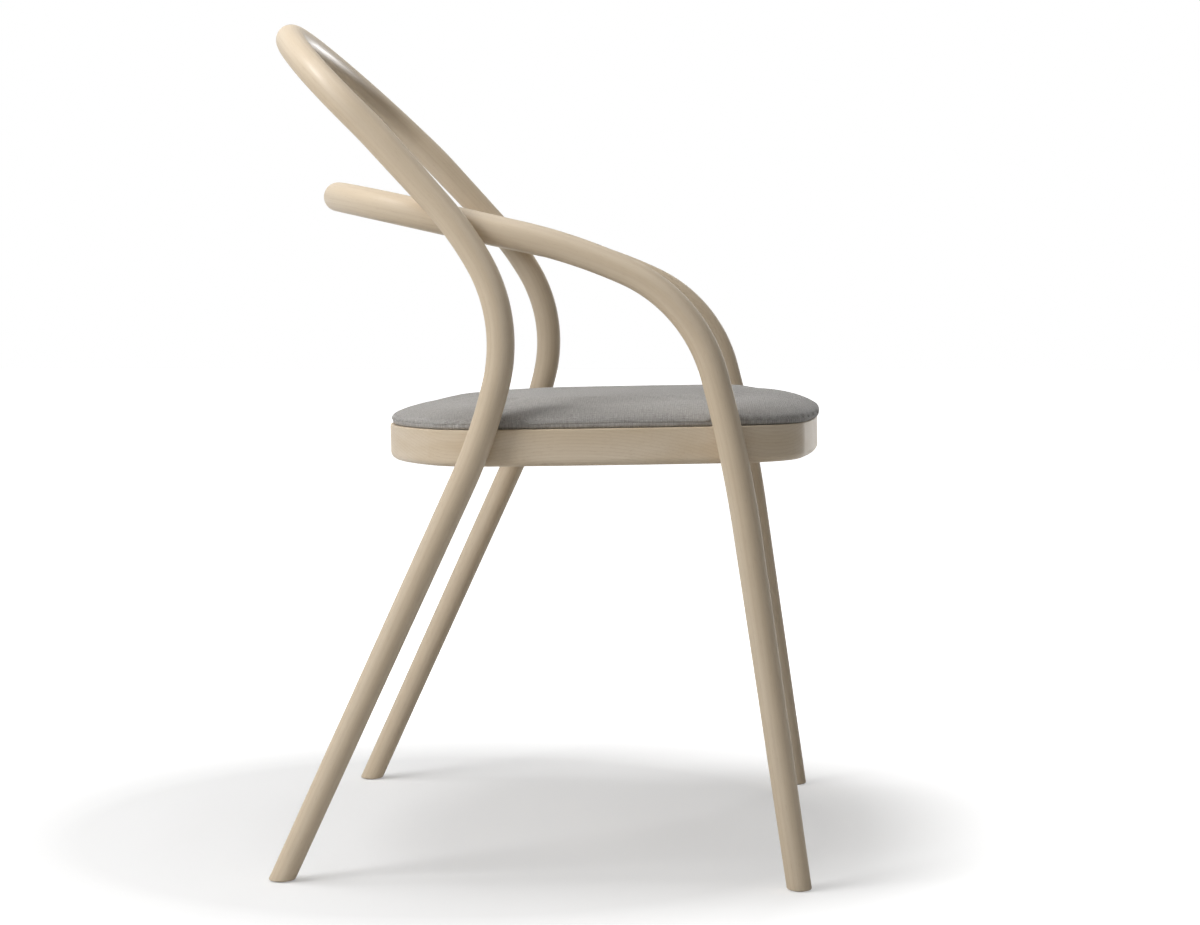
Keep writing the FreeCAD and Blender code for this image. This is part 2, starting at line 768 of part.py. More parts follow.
seat_ring = cut("seat_ring", ring_body, ring_holes)
leg_bolts = group("leg_bolts", bolts)
leg_washers = group("leg_washers", washers)
leg_inserts = group("leg_inserts", inserts)
seat_bolt_set = group("seat_bolts", seat_bolts)
seat_washer_set = group("seat_washers", seat_washers)
seat_nut_set = group("seat_nuts", seat_nuts)

# plywood board under the upholstery
board_body = doc.addObject("PartDesign::Body", "board_body")
board_sketch = outline_sketch(board_body, "board_sketch", ".board_inset", " .cover_thickness")
board_pad = board_body.newObject("PartDesign::Pad", "board_pad")
board_pad.Profile = board_sketch
bind(board_pad, "Length", " .board_thickness")
doc.recompute()
rounded(board_body, "board_eased", board_pad, [board_top], ".board_rounding")
seat_board = cut("seat_board", board_body, board_holes)

# the pad swells a little beside the board and rolls over into a flat crown
crown_height = size("pad_crown")
ROLL = [0.0, 0.2, 0.4, 0.58, 0.72, 0.84, 0.92, 0.97, 1.0]
FLATTEN = 0.995


def pad_loft(name, skin):
    """A crowned pad lofted through drawn-in outlines, set in by a skin."""
    edge = [size("pad_front_inset"), size("pad_rear_inset"), size("pad_side_inset")]
    roll = [size("pad_front_roll"), size("pad_rear_roll"), size("pad_side_roll")]
    levels = [
        (skin, [e + skin + size("pad_tuck") for e in edge]),
        ((skin + board_top) / 2, [e + skin - size("pad_swell") for e in edge]),
    ]
    for share in ROLL:
        height = board_top + share * (crown_height - skin - board_top)
        turn_in = -math.log(1 - FLATTEN * share)
        draw = skin * (1 - share)
        levels.append((height, [e + draw + r * turn_in for e, r in zip(edge, roll)]))
    sections = []
    for number, (height, drawn) in enumerate(levels):
        section = doc.addObject("Part::Feature", "%s_%d" % (name, number))
        section.Shape = Outline(*drawn).wire(height)
        sections.append(section)
    loft = doc.addObject("Part::Loft", name)
    loft.Sections = sections
    loft.Solid = True
    loft.Ruled = True
    return loft


def flat_faces(shape, level):
    return [f for f in shape.Faces if all(abs(v.Z - level) < 0.01 for v in f.Vertexes)]


pad_outer = pad_loft("pad_outer", 0.0)
pad_inner = pad_loft("pad_inner", size("cover_thickness"))
doc.recompute()
seat_foam = cut("seat_foam", pad_inner, [board_body])

# the cover is a skin over the foam, turned in under the board's edge
under = flat_faces(pad_outer.Shape, 0.0)[0]
lining = flat_faces(pad_inner.Shape, size("cover_thickness"))[0]
opening = [
    Part.ArcOfCircle(Part.Circle(c, UP, radius), first, last).toShape()
    for c, radius, first, last in EDGE.arcs(size("cover_wrap"))
]
low_hole = Part.Wire(opening)
high_hole = low_hole.copy()
high_hole.translate(UP * size("cover_thickness"))
skin_faces = [f for f in pad_outer.Shape.Faces if not f.isSame(under)]
skin_faces += [f for f in pad_inner.Shape.Faces if not f.isSame(lining)]
ringed = "Part::FaceMakerBullseye"
skin_faces.append(Part.makeFace([under.OuterWire, low_hole], ringed))
skin_faces.append(Part.makeFace([lining.OuterWire, high_hole], ringed))
skin_faces += Part.makeLoft([low_hole, high_hole], False, True).Faces
cover_shell = Part.Shell(skin_faces)
cover_shell.sewShape()
cover_solid = Part.Solid(cover_shell)
if cover_solid.Volume < 0:
    cover_solid.reverse()
seat_cover = doc.addObject("Part::Feature", "seat_cover")
seat_cover.Shape = cover_solid

for obj in (
    seat_ring,
    leg_bolts,
    leg_washers,
    leg_inserts,
    seat_bolt_set,
    seat_washer_set,
    seat_nut_set,
    seat_board,
    seat_foam,
    seat_cover,
):
    obj.Placement = SEAT
for block in blocks:
    block.Placement = SEAT

# joint between each arm and stile: spot-faced flats, one screw, one plug
arm_face = rail_radius - size("crossing_flat_depth")
head_seat = rail_radius - size("arm_screw_head_depth") - size("arm_screw_head_height")
arm_tools = []
stile_tools = []
screws = []
plugs = []
screw_hole = ".arm_screw_diameter / 2 + .running_gap"
for hand, way in SIDES:
    on_arm = arm_cross if way > 0 else mirrored(arm_cross)
    out = outward if way > 0 else mirrored(outward)
    contact = on_arm + out * arm_face
    seat = on_arm - out * head_seat
    flat_rule = ".crossing_flat_diameter / 2"
    arm_tools.append(cylinder("arm_flat_" + hand, flat_rule, ".rail_diameter / 2", contact, out))
    stile_tools.append(
        cylinder("stile_flat_" + hand, flat_rule, ".rail_diameter / 2", contact, out * -1)
    )
    arm_tools.append(cylinder("arm_bore_" + hand, screw_hole, ".rail_diameter * 2", seat, out))
    arm_tools.append(
        cylinder(
            "arm_sink_" + hand,
            ".plug_diameter / 2 + .running_gap",
            ".rail_diameter",
            seat,
            out * -1,
        )
    )
    bite = ".arm_screw_bite + .running_gap"
    stile_tools.append(cylinder("stile_bore_" + hand, screw_hole, bite, contact, out))
    head_rule = ".arm_screw_head_diameter / 2"
    head = cylinder(
        "arm_screw_head_" + hand, head_rule, ".arm_screw_head_height", seat, out * -1
    )
    shank_rule = (
        ".rail_diameter - .crossing_flat_depth - .arm_screw_head_depth"
        " - .arm_screw_head_height + .arm_screw_bite"
    )
    shank = cylinder("arm_screw_shank_" + hand, ".arm_screw_diameter / 2", shank_rule, seat, out)
    screws.append(joined("arm_screw_" + hand, [head, shank]))
    plug_base = seat - out * size("arm_screw_head_height")
    pin = cylinder(
        "plug_pin_" + hand, ".plug_diameter / 2", ".rail_diameter", plug_base, out * -1
    )
    plug = doc.addObject("Part::Common", "arm_plug_" + hand)
    plug.Base = pin
    plug.Tool = arm_blank
    plugs.append(plug)
arm_screws = group("arm_screws", screws)

# glides: a low disc let into each foot, with a pin
glides = []
glide_tools = {"rear": [], "front": []}
for end, foot in (("rear", rear_foot), ("front", front_foot)):
    for hand, way in SIDES:
        tag = end + "_" + hand
        spot = Vector(way * foot.x, foot.y, 0)
        disc = cylinder("glide_disc_" + tag, ".glide_diameter / 2", ".glide_height", spot, UP)
        pin_rule = ".glide_height / 2 + .glide_pin_length"
        half_up = spot + UP * size("glide_height") / 2
        pin = cylinder("glide_pin_" + tag, ".glide_pin_diameter / 2", pin_rule, half_up, UP)
        disc_eased = doc.addObject("Part::Chamfer", "glide_eased_" + tag)
        disc_eased.Base = disc
        doc.recompute()
        rim = edges_at(disc.Shape, 0.0)
        ease = size("glide_chamfer")
        disc_eased.Edges = [(int(name[4:]), ease, ease) for name in rim]
        glide = joined("glide_" + tag, [disc_eased, pin])
        glides.append(glide)
        wide = ".glide_diameter / 2 + .running_gap"
        narrow = ".glide_pin_diameter / 2 + .running_gap"
        bore_rule = pin_rule + " + .running_gap"
        glide_tools[end] += [
            cylinder("glide_sink_" + tag, wide, ".glide_height", spot, UP),
            cylinder("glide_bore_" + tag, narrow, bore_rule, half_up, UP),
        ]

# feet are cut level, just clear of the floor, and their rims are rounded
def level_feet(name, blank):
    floor = doc.addObject("Part::Box", name + "_floor")
    bind(floor, "Length", " .seat_width * 3")
    bind(floor, "Width", " .seat_depth * 3")
    bind(floor, "Height", " .overall_height / 4")
    floor.Placement.Base = Vector(
        -size("seat_width") * 1.5,
        -size("seat_depth") * 1.5,
        size("foot_clearance") - size("overall_height") / 4,
    )
    levelled = cut(name + "_levelled", blank, [floor])
    doc.recompute()
    soft = doc.addObject("Part::Fillet", name + "_soft")
    soft.Base = levelled
    radius = size("foot_rounding")
    rims = edges_at(levelled.Shape, size("foot_clearance"))
    soft.Edges = [(int(rim[4:]), radius, radius) for rim in rims]
    doc.recompute()
    return soft


def fitted(name, bow, stages):
    """A bow cut by one set of tools after another."""
    for number, tools in enumerate(stages, start=1):
        last = number == len(stages)
        bow = cut(name if last else "%s_stage_%d" % (name, number), bow, tools)
    return bow


back_bow = fitted(
    "back_bow",
    level_feet("back", back_blank),
    [saddles["rear"], insert_bores["rear"], stile_tools, glide_tools["rear"]],
)
arm_bow = fitted(
    "arm_bow",
    level_feet("arm", arm_blank),
    [saddles["front"], insert_bores["front"], arm_tools, glide_tools["front"]],
)
doc.recompute()

NODES = [
    back_bow,
    arm_bow,
    seat_ring,
    seat_board,
    seat_foam,
    seat_cover,
    leg_bolts,
    leg_washers,
    leg_inserts,
    seat_bolt_set,
    seat_washer_set,
    seat_nut_set,
    arm_screws,
]
NODES += blocks + plugs + glides

for obj in doc.Objects:
    bad = [flag for flag in obj.State if flag in ("Invalid", "Error")]
    if bad:
        raise RuntimeError("%s did not build: %s" % (obj.Name, bad))
os.makedirs("parts", exist_ok=True)
for obj in NODES:
    shape = obj.Shape
    if shape.isNull() or not shape.isValid():
        raise RuntimeError("%s has no valid shape" % obj.Label)
    shape.exportStep("parts/%s.step" % obj.Label)
    print(obj.Label, len(shape.Solids), round(shape.Volume / 1000, 2))
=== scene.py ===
import math
import random

import bpy
from mathutils import Matrix, Quaternion, Vector


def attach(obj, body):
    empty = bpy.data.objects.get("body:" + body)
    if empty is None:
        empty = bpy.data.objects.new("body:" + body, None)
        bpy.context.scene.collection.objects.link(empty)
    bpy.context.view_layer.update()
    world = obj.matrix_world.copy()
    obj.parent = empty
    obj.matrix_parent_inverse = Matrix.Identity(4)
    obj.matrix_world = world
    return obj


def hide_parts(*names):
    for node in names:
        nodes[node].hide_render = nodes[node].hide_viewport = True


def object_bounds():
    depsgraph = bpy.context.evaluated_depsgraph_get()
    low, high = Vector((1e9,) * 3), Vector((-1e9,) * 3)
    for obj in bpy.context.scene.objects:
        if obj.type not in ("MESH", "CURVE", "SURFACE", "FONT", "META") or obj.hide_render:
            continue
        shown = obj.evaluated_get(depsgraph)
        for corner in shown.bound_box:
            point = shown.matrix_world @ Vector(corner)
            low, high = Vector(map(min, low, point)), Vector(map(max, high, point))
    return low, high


# A bentwood dining armchair: two bent rods, a bent seat ring and a padded seat.
# Metres. X runs across, the front is -Y, the floor is Z = 0.
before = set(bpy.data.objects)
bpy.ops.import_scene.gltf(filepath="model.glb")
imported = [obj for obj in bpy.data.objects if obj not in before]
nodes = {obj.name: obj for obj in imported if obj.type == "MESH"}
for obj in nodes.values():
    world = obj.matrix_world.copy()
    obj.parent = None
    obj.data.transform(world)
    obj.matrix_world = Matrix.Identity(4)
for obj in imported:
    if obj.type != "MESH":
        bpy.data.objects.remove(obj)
cad_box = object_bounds()

ACROSS = Vector((1, 0, 0))
UP = Vector((0, 0, 1))

# back bow
BACK_LEAN = math.radians(42.7)
ARCH_LEAN = math.radians(46)
STILE_SPREAD = math.radians(7.2)
CROWN_ANGLE = math.radians(40)
SHOULDER_RADIUS = 0.121
ARCH_BLEND_RADIUS = 0.6
LUMBAR_ARCS = [(0.342, 0.18), (0.154, 0.66), (0.520, 0.16)]
LUMBAR_HEIGHT = 0.527
TOP_RADIUS = 0.01375
LUMBAR_RADIUS = 0.0127
STILE_FULLNESS = 0.0005
FULLNESS_RISE = 0.12
# arm bow
ARM_CORNER_HEIGHT = 0.562
ARM_SLOPE = math.radians(12.5)
ARM_DRAW_IN = math.radians(9.508)
ARM_ARCS = [(0.535, 0.17), (0.1475, 0.73), (1.270, 0.10)]
RAIL_CROWN_ANGLE = math.radians(40)
RAIL_SHOULDER_RADIUS = 0.120
RAIL_OVERHANG = 0.1495
RAIL_RADIUS = 0.0145
ARM_RADIUS = 0.013
# feet and the joint between arm and stile
FOOT_RADIUS = 0.0115
FOOT_CLEARANCE = 0.001
FOOT_ROUNDING = 0.0018
REAR_FOOT_REACH = 0.2315
FRONT_FOOT_REACH = 0.2515
REAR_SPLAY = 0.012
FRONT_SPLAY = 0.013
LEG_FLAT = 0.0012
CROSSING_FLAT = 0.001
CROSSING_FLAT_RADIUS = 0.018
# seat
RING_TOP = 0.4219
RING_HEIGHT = 0.0345
SEAT_TILT = math.radians(1.1)
SEAT_WIDTH = 0.470
SEAT_DEPTH = 0.4315
SEAT_FRONT = 0.269
SEAT_WIDEST = 0.189
FRONT_EDGE_RADIUS = 1.0
SIDE_RADIUS = 1.5
REAR_EDGE_RADIUS = 0.338
FRONT_CORNER_RADIUS = 0.077
REAR_CORNER_RADIUS = 0.080
FRONT_LEG_SETBACK = 0.079
REAR_LEG_SETBACK = 0.115
# pad
BOARD_TOP = 0.0092
PAD_CROWN = 0.0263
PAD_EDGE = (-0.0020, 0.0022, 0.0045)
PAD_ROLL = (0.021, 0.032, 0.026)
PAD_SWELL = 0.0012
COVER_THICKNESS = 0.0012
COVER_WRAP = 0.030

FRONT_Y = -SEAT_FRONT
REAR_Y = FRONT_Y + SEAT_DEPTH
SEAT = Matrix.Translation((0, 0, RING_TOP)) @ Matrix.Rotation(-SEAT_TILT, 4, "X")


def mirrored(point):
    return Vector((-point.x, point.y, point.z))


def add_object(name, verts, faces, smooth=True):
    mesh = bpy.data.meshes.new(name)
    mesh.from_pydata([tuple(v) for v in verts], [], faces)
    mesh.validate()
    mesh.polygons.foreach_set("use_smooth", [smooth] * len(mesh.polygons))
    obj = bpy.data.objects.new(name, mesh)
    bpy.context.scene.collection.objects.link(obj)
    return obj


def add_vector_attribute(obj, name, values):
    """Store one vector per point, for a material to read."""
    attribute = obj.data.attributes.new(name, "FLOAT_VECTOR", "POINT")
    flat = [part for value in values for part in value]
    attribute.data.foreach_set("vector", flat)


# Bent rods
STEP = 0.003
SIDES_ROUND = 64
FOOT_STEPS = 5
# the last plain ring lies this far above the foot's rounding
FOOT_MARGIN = 0.006
# the wood's surface lies a hair under the plugs that are let into it
PLUG_PROUD = 0.00005


class HalfBow:
    """Stations from the middle of a bow to its right foot: point, heading, radius."""

    def __init__(self, point, heading, radius):
        self.stations = [(point, heading, radius)]

    def last(self):
        return self.stations[-1]

    def arc(self, toward_centre, axis, turn, bend_radius, end_radius):
        """A bend about an axis; toward_centre points from the path to its centre."""
        point, heading, radius = self.last()
        centre = point + toward_centre * bend_radius
        count = max(4, math.ceil(bend_radius * turn / STEP))
        for number in range(1, count + 1):
            share = number / count
            spin = Quaternion(axis, turn * share)
            place = centre + spin @ (point - centre)
            wide = radius + (end_radius - radius) * share
            self.stations.append((place, spin @ heading, wide))

    def straight(self, end, end_radius):
        """A straight run to a point."""
        point, _, radius = self.last()
        count = max(2, math.ceil((end - point).length / STEP))
        heading = (end - point).normalized()
        for number in range(1, count + 1):
            share = number / count
            wide = radius + (end_radius - radius) * share
            self.stations.append((point.lerp(end, share), heading, wide))


def centre_side(heading, axis):
    """Direction from the path to the centre of its bend."""
    return axis.cross(heading).normalized()


def bend_plan(corner, heading, leaving, arcs):
    """Start, axis and turn of a bend made of arcs (radius, share of the turn)."""
    turn = heading.angle(leaving)
    sideways = (leaving - heading * leaving.dot(heading)).normalized()
    along = 0.0
    off = 0.0
    done = 0.0
    for radius, share in arcs:
        after = done + turn * share
        along += radius * (math.sin(after) - math.sin(done))
        off += radius * (math.cos(done) - math.cos(after))
        done = after
    reach_in = along - off / math.tan(turn)
    return corner - heading * reach_in, heading.cross(sideways).normalized(), turn


def half_width(y):
    """Half the width of the seat on its long side arc."""
    off = y - (FRONT_Y + SEAT_WIDEST)
    return SEAT_WIDTH / 2 - (SIDE_RADIUS - math.sqrt(SIDE_RADIUS ** 2 - off ** 2))


def leg_line(y, radius, splay, foot_y, corner_height):
    """Foot, and the point at which the leg's line reaches a height."""
    level = SEAT @ Vector((0, y, -RING_HEIGHT / 2))
    at_ring = Vector((half_width(y) + radius - LEG_FLAT, level.y, level.z))
    foot = Vector((at_ring.x + splay, foot_y, 0))
    return foot, foot + (at_ring - foot) * (corner_height / at_ring.z)


def half_back_bow():
    """From the top of the back loop down a stile and a lumbar bend to a rear foot."""
    rear_y = REAR_Y - REAR_LEG_SETBACK
    foot, lumbar = leg_line(rear_y, LUMBAR_RADIUS, REAR_SPLAY, REAR_FOOT_REACH, LUMBAR_HEIGHT)
    stile_up = Vector((
        -math.sin(STILE_SPREAD),
        math.cos(STILE_SPREAD) * math.sin(BACK_LEAN),
        math.cos(STILE_SPREAD) * math.cos(BACK_LEAN),
    ))
    arch_up = Vector((0, math.sin(ARCH_LEAN), math.cos(ARCH_LEAN)))
    arch_end_up = arch_up * math.cos(STILE_SPREAD) - ACROSS * math.sin(STILE_SPREAD)
    blend_reach = ARCH_BLEND_RADIUS * math.tan(stile_up.angle(arch_end_up) / 2)
    # the stile's length follows from the overall height and the width below
    side = math.cos(STILE_SPREAD) - math.sin(CROWN_ANGLE)
    flatness = (1 - math.cos(CROWN_ANGLE)) / math.sin(CROWN_ANGLE)
    drop = math.cos(CROWN_ANGLE) - math.sin(STILE_SPREAD)
    climb = cad_box[1].z - TOP_RADIUS - lumbar.z
    fixed = lumbar.x - blend_reach * math.sin(STILE_SPREAD) - SHOULDER_RADIUS * side
    fixed = fixed * flatness + SHOULDER_RADIUS * drop + blend_reach * math.cos(STILE_SPREAD)
    gain = stile_up.z - arch_up.z * math.sin(STILE_SPREAD) * flatness
    stile_top = lumbar + stile_up * ((climb - arch_up.z * fixed) / gain)
    shoulder_end = stile_top + arch_end_up * blend_reach
    crown_radius = (shoulder_end.x - SHOULDER_RADIUS * side) / math.sin(CROWN_ANGLE)
    rise = crown_radius * (1 - math.cos(CROWN_ANGLE)) + SHOULDER_RADIUS * drop
    apex = Vector((0, shoulder_end.y, shoulder_end.z)) + arch_up * rise

    bow = HalfBow(apex, ACROSS, TOP_RADIUS)
    axis = ACROSS.cross(-arch_up).normalized()
    shoulder_turn = math.pi / 2 - STILE_SPREAD - CROWN_ANGLE
    bow.arc(-arch_up, axis, CROWN_ANGLE, crown_radius, TOP_RADIUS)
    heading = bow.last()[1]
    bow.arc(centre_side(heading, axis), axis, shoulder_turn, SHOULDER_RADIUS, TOP_RADIUS)
    heading = bow.last()[1]
    _, axis, turn = bend_plan(stile_top, heading, -stile_up, [(ARCH_BLEND_RADIUS, 1.0)])
    bow.arc(centre_side(heading, axis), axis, turn, ARCH_BLEND_RADIUS, TOP_RADIUS)
    leg_down = (foot - lumbar).normalized()
    start, axis, turn = bend_plan(lumbar, -stile_up, leg_down, LUMBAR_ARCS)
    bow.straight(start, LUMBAR_RADIUS)
    for radius, share in LUMBAR_ARCS:
        heading = bow.last()[1]
        bow.arc(centre_side(heading, axis), axis, turn * share, radius, LUMBAR_RADIUS)
    bow.straight(foot, FOOT_RADIUS)
    # above the seat the rod is a little fuller than the legs
    for number, (point, heading, radius) in enumerate(bow.stations):
        share = min(1.0, max(0.0, (point.z - RING_TOP) / FULLNESS_RISE))
        bow.stations[number] = (point, heading, radius + STILE_FULLNESS * share)
    return bow


def half_arm_bow(back):
    """From the middle of the rail along an arm to a front foot, and where it meets the stile."""
    front_y = FRONT_Y + FRONT_LEG_SETBACK
    foot, corner = leg_line(front_y, ARM_RADIUS, FRONT_SPLAY, -FRONT_FOOT_REACH, ARM_CORNER_HEIGHT)
    rearward = Vector((0, math.cos(ARM_SLOPE), math.sin(ARM_SLOPE)))
    aim = rearward * math.cos(ARM_DRAW_IN) - ACROSS * math.sin(ARM_DRAW_IN)
    # the arm bears on the stile where the two middle lines come nearest
    on_arm, on_stile = nearest(corner, aim, [s[0] for s in back.stations])
    draw_in = math.tan(ARM_DRAW_IN)
    flat = math.cos(RAIL_CROWN_ANGLE) - math.sin(ARM_DRAW_IN)
    half = on_arm.x - RAIL_OVERHANG * draw_in + RAIL_SHOULDER_RADIUS * draw_in * flat
    half -= RAIL_SHOULDER_RADIUS * (math.cos(ARM_DRAW_IN) - math.sin(RAIL_CROWN_ANGLE))
    spread = math.sin(RAIL_CROWN_ANGLE) - draw_in * (1 - math.cos(RAIL_CROWN_ANGLE))
    crown_radius = half / spread
    to_rail = (on_arm - corner).dot(rearward) + RAIL_OVERHANG
    middle = Vector((0, corner.y, corner.z)) + rearward * to_rail

    bow = HalfBow(middle, ACROSS, RAIL_RADIUS)
    axis = ACROSS.cross(-rearward).normalized()
    bow.arc(-rearward, axis, RAIL_CROWN_ANGLE, crown_radius, RAIL_RADIUS)
    heading = bow.last()[1]
    shoulder_turn = math.pi / 2 - ARM_DRAW_IN - RAIL_CROWN_ANGLE
    bow.arc(centre_side(heading, axis), axis, shoulder_turn, RAIL_SHOULDER_RADIUS, RAIL_RADIUS)
    front_down = (foot - corner).normalized()
    start, axis, turn = bend_plan(corner, -aim, front_down, ARM_ARCS)
    run = (start - bow.last()[0]).length
    ease_run = ARM_ARCS[0][0] * turn * ARM_ARCS[0][1]
    ease_radius = RAIL_RADIUS + (ARM_RADIUS - RAIL_RADIUS) * run / (run + ease_run)
    bow.straight(start, ease_radius)
    for radius, share in ARM_ARCS:
        heading = bow.last()[1]
        bow.arc(centre_side(heading, axis), axis, turn * share, radius, ARM_RADIUS)
    bow.straight(foot, FOOT_RADIUS)
    return bow, on_arm, (on_stile - on_arm).normalized()


def nearest(start, aim, points):
    """Nearest points of a line and of a run of points."""
    best = None
    for first, second in zip(points, points[1:]):
        for share in (0.0, 0.25, 0.5, 0.75):
            point = first.lerp(second, share)
            foot = start + aim * (point - start).dot(aim)
            if best is None or (point - foot).length < best[0]:
                best = ((point - foot).length, foot, point)
    return best[1], best[2]


def foot_rings(station, normal, binormal):
    """Rings that cut the foot level and round its rim."""
    foot, heading, radius = station
    rings = []
    ends = [(FOOT_ROUNDING, 0.0)]
    for number in range(1, FOOT_STEPS + 1):
        turn = math.pi / 2 * number / FOOT_STEPS
        ends.append((FOOT_ROUNDING * (1 - math.sin(turn)), FOOT_ROUNDING * (1 - math.cos(turn))))
    for height, draw in ends:
        level = FOOT_CLEARANCE + height
        ring = []
        for number in range(SIDES_ROUND):
            around = 2 * math.pi * number / SIDES_ROUND
            out = normal * math.cos(around) + binormal * math.sin(around)
            point = foot + out * (radius - draw)
            ring.append(point + heading * ((level - point.z) / heading.z))
        rings.append(ring)
    return rings


def bow_mesh(name, bow, middle_normal, contact, away):
    """A whole bow as one closed skin, with the grain following its bends."""
    lowest = FOOT_CLEARANCE + FOOT_ROUNDING + FOOT_MARGIN
    normal = middle_normal
    heading = bow.stations[0][1]
    rings = []
    grain = []
    travel = 0.0
    before = bow.stations[0][0]
    for point, direction, radius in bow.stations:
        normal = heading.rotation_difference(direction) @ normal
        normal = (normal - direction * normal.dot(direction)).normalized()
        binormal = direction.cross(normal)
        travel += (point - before).length
        before = point
        heading = direction
        if point.z < lowest:
            continue
        ring = []
        for number in range(SIDES_ROUND):
            around = 2 * math.pi * number / SIDES_ROUND
            out = normal * math.cos(around) + binormal * math.sin(around)
            ring.append(point + out * (radius - PLUG_PROUD))
        rings.append(ring)
        grain.append(travel)
    for ring in foot_rings(bow.last(), normal, binormal):
        rings.append(ring)
        grain.append(travel)
    for ring in rings:
        for number, point in enumerate(ring):
            depth = (point - contact).dot(away)
            if depth > 0 and (point - contact).length < CROSSING_FLAT_RADIUS:
                ring[number] = point - away * depth
    verts = []
    coordinates = []
    whole = [(rings[i], grain[i], True) for i in range(len(rings) - 1, 0, -1)]
    whole += [(ring, travel, False) for ring, travel in zip(rings, grain)]
    for ring, travel, left in whole:
        for number, point in enumerate(ring):
            around = 2 * math.pi * number / SIDES_ROUND
            verts.append(mirrored(point) if left else point)
            across = (math.cos(around) * FOOT_RADIUS, math.sin(around) * FOOT_RADIUS)
            coordinates.append((-travel if left else travel, *across))
    faces = []
    for row in range(len(whole) - 1):
        for number in range(SIDES_ROUND):
            a = row * SIDES_ROUND + number
            b = row * SIDES_ROUND + (number + 1) % SIDES_ROUND
            faces.append((a, b, b + SIDES_ROUND, a + SIDES_ROUND))
    for row, flip in ((0, True), (len(whole) - 1, False)):
        rim = [row * SIDES_ROUND + number for number in range(SIDES_ROUND)]
        centre = sum((verts[i] for i in rim), Vector()) / SIDES_ROUND
        verts.append(centre)
        coordinates.append((coordinates[rim[0]][0], 0.0, 0.0))
        for number in range(SIDES_ROUND):
            pair = (rim[number], rim[(number + 1) % SIDES_ROUND])
            faces.append((len(verts) - 1, *(reversed(pair) if flip else pair)))
    obj = add_object(name, verts, faces)
    add_vector_attribute(obj, "grain", coordinates)
    return obj


# Seat outline and pad
ARC_POINTS = {"front": 36, "corner": 18, "side": 40, "rear": 30}


class Outline:
    """The seat outline, four large arcs and four corners, drawn in on each side."""

    def __init__(self, front=0.0, rear=0.0, side=0.0):
        self.near = FRONT_Y + front
        self.far = REAR_Y - rear
        self.half = SEAT_WIDTH / 2 - side
        deep = (self.far - self.near) / SEAT_DEPTH
        wide = 2 * self.half / SEAT_WIDTH
        self.front_radius = FRONT_EDGE_RADIUS * wide
        self.rear_radius = REAR_EDGE_RADIUS * wide
        self.side_radius = SIDE_RADIUS * deep
        self.front_corner = FRONT_CORNER_RADIUS * min(wide, deep)
        self.rear_corner = REAR_CORNER_RADIUS * min(wide, deep)
        self.front_centre = Vector((0, self.near + self.front_radius, 0))
        self.rear_centre = Vector((0, self.far - self.rear_radius, 0))
        widest = self.near + SEAT_WIDEST * deep
        self.side_centre = Vector((self.half - self.side_radius, widest, 0))

    def corner(self, centre, radius, corner_radius, way):
        """Centre of the arc that rounds an end arc into the side arc."""
        a = radius - corner_radius
        b = self.side_radius - corner_radius
        apart = self.side_centre - centre
        along = (apart.length_squared + a * a - b * b) / (2 * apart.length)
        off = math.sqrt(a * a - along * along)
        ex = apart.normalized()
        ey = Vector((-ex.y, ex.x, 0))
        found = [centre + ex * along + ey * off, centre + ex * along - ey * off]
        return max(found, key=lambda p: p.x + way * p.y)

    def points(self, inset=0.0):
        """Points round the outline, from the middle of the front, turning left."""
        front = self.corner(self.front_centre, self.front_radius, self.front_corner, -1)
        rear = self.corner(self.rear_centre, self.rear_radius, self.rear_corner, 1)

        def bearing(start, end):
            return math.atan2(end.y - start.y, end.x - start.x)

        front_end = bearing(self.front_centre, front)
        side_start = bearing(self.side_centre, front)
        side_end = bearing(self.side_centre, rear)
        rear_start = bearing(self.rear_centre, rear)
        runs = [
            (self.front_centre, self.front_radius, -math.pi / 2, front_end, ARC_POINTS["front"]),
            (front, self.front_corner, front_end, side_start, ARC_POINTS["corner"]),
            (self.side_centre, self.side_radius, side_start, side_end, ARC_POINTS["side"]),
            (rear, self.rear_corner, side_end, rear_start, ARC_POINTS["corner"]),
            (self.rear_centre, self.rear_radius, rear_start, math.pi / 2, ARC_POINTS["rear"]),
        ]
        right = []
        for centre, radius, first, last, count in runs:
            for number in range(count):
                around = first + (last - first) * number / count
                out = Vector((math.cos(around), math.sin(around), 0))
                right.append(centre + out * (radius - inset))
        middle_rear = Vector((0, self.far - inset, 0))
        left = [mirrored(p) for p in reversed(right[1:])]
        return right + [middle_rear] + left


def rings_to_faces(rows, count, closed_rows=False):
    """Four-sided faces between rows of points that each run in a ring."""
    faces = []
    last = rows if closed_rows else rows - 1
    for row in range(last):
        below = row * count
        above = ((row + 1) % rows) * count
        for number in range(count):
            after = (number + 1) % count
            faces.append((below + number, below + after, above + after, above + number))
    return faces


PAD_LEVELS = 18
PAD_FLATTEN = 0.995
PAD_SHRINK = 0.0008
PAD_MOVE = 0.0034
PAD_BASE = 0.0030
PAD_SKIRT = 0.0008
PAD_SHRINK_RISE = 0.010
VOXEL = 0.005
SOFTEN = 0.5
SOFTEN_ROUNDS = 2
SIM_FRAMES = 20
HELD_SHARE = 0.55
CLOTH_QUALITY = 6
CLOTH_MASS = 0.3
CLOTH_STIFFNESS = 12
CLOTH_BENDING = 0.6
CLOTH_PRESSURE = 4
# a normal that leans less than this counts as straight up
UPRIGHT = 0.02


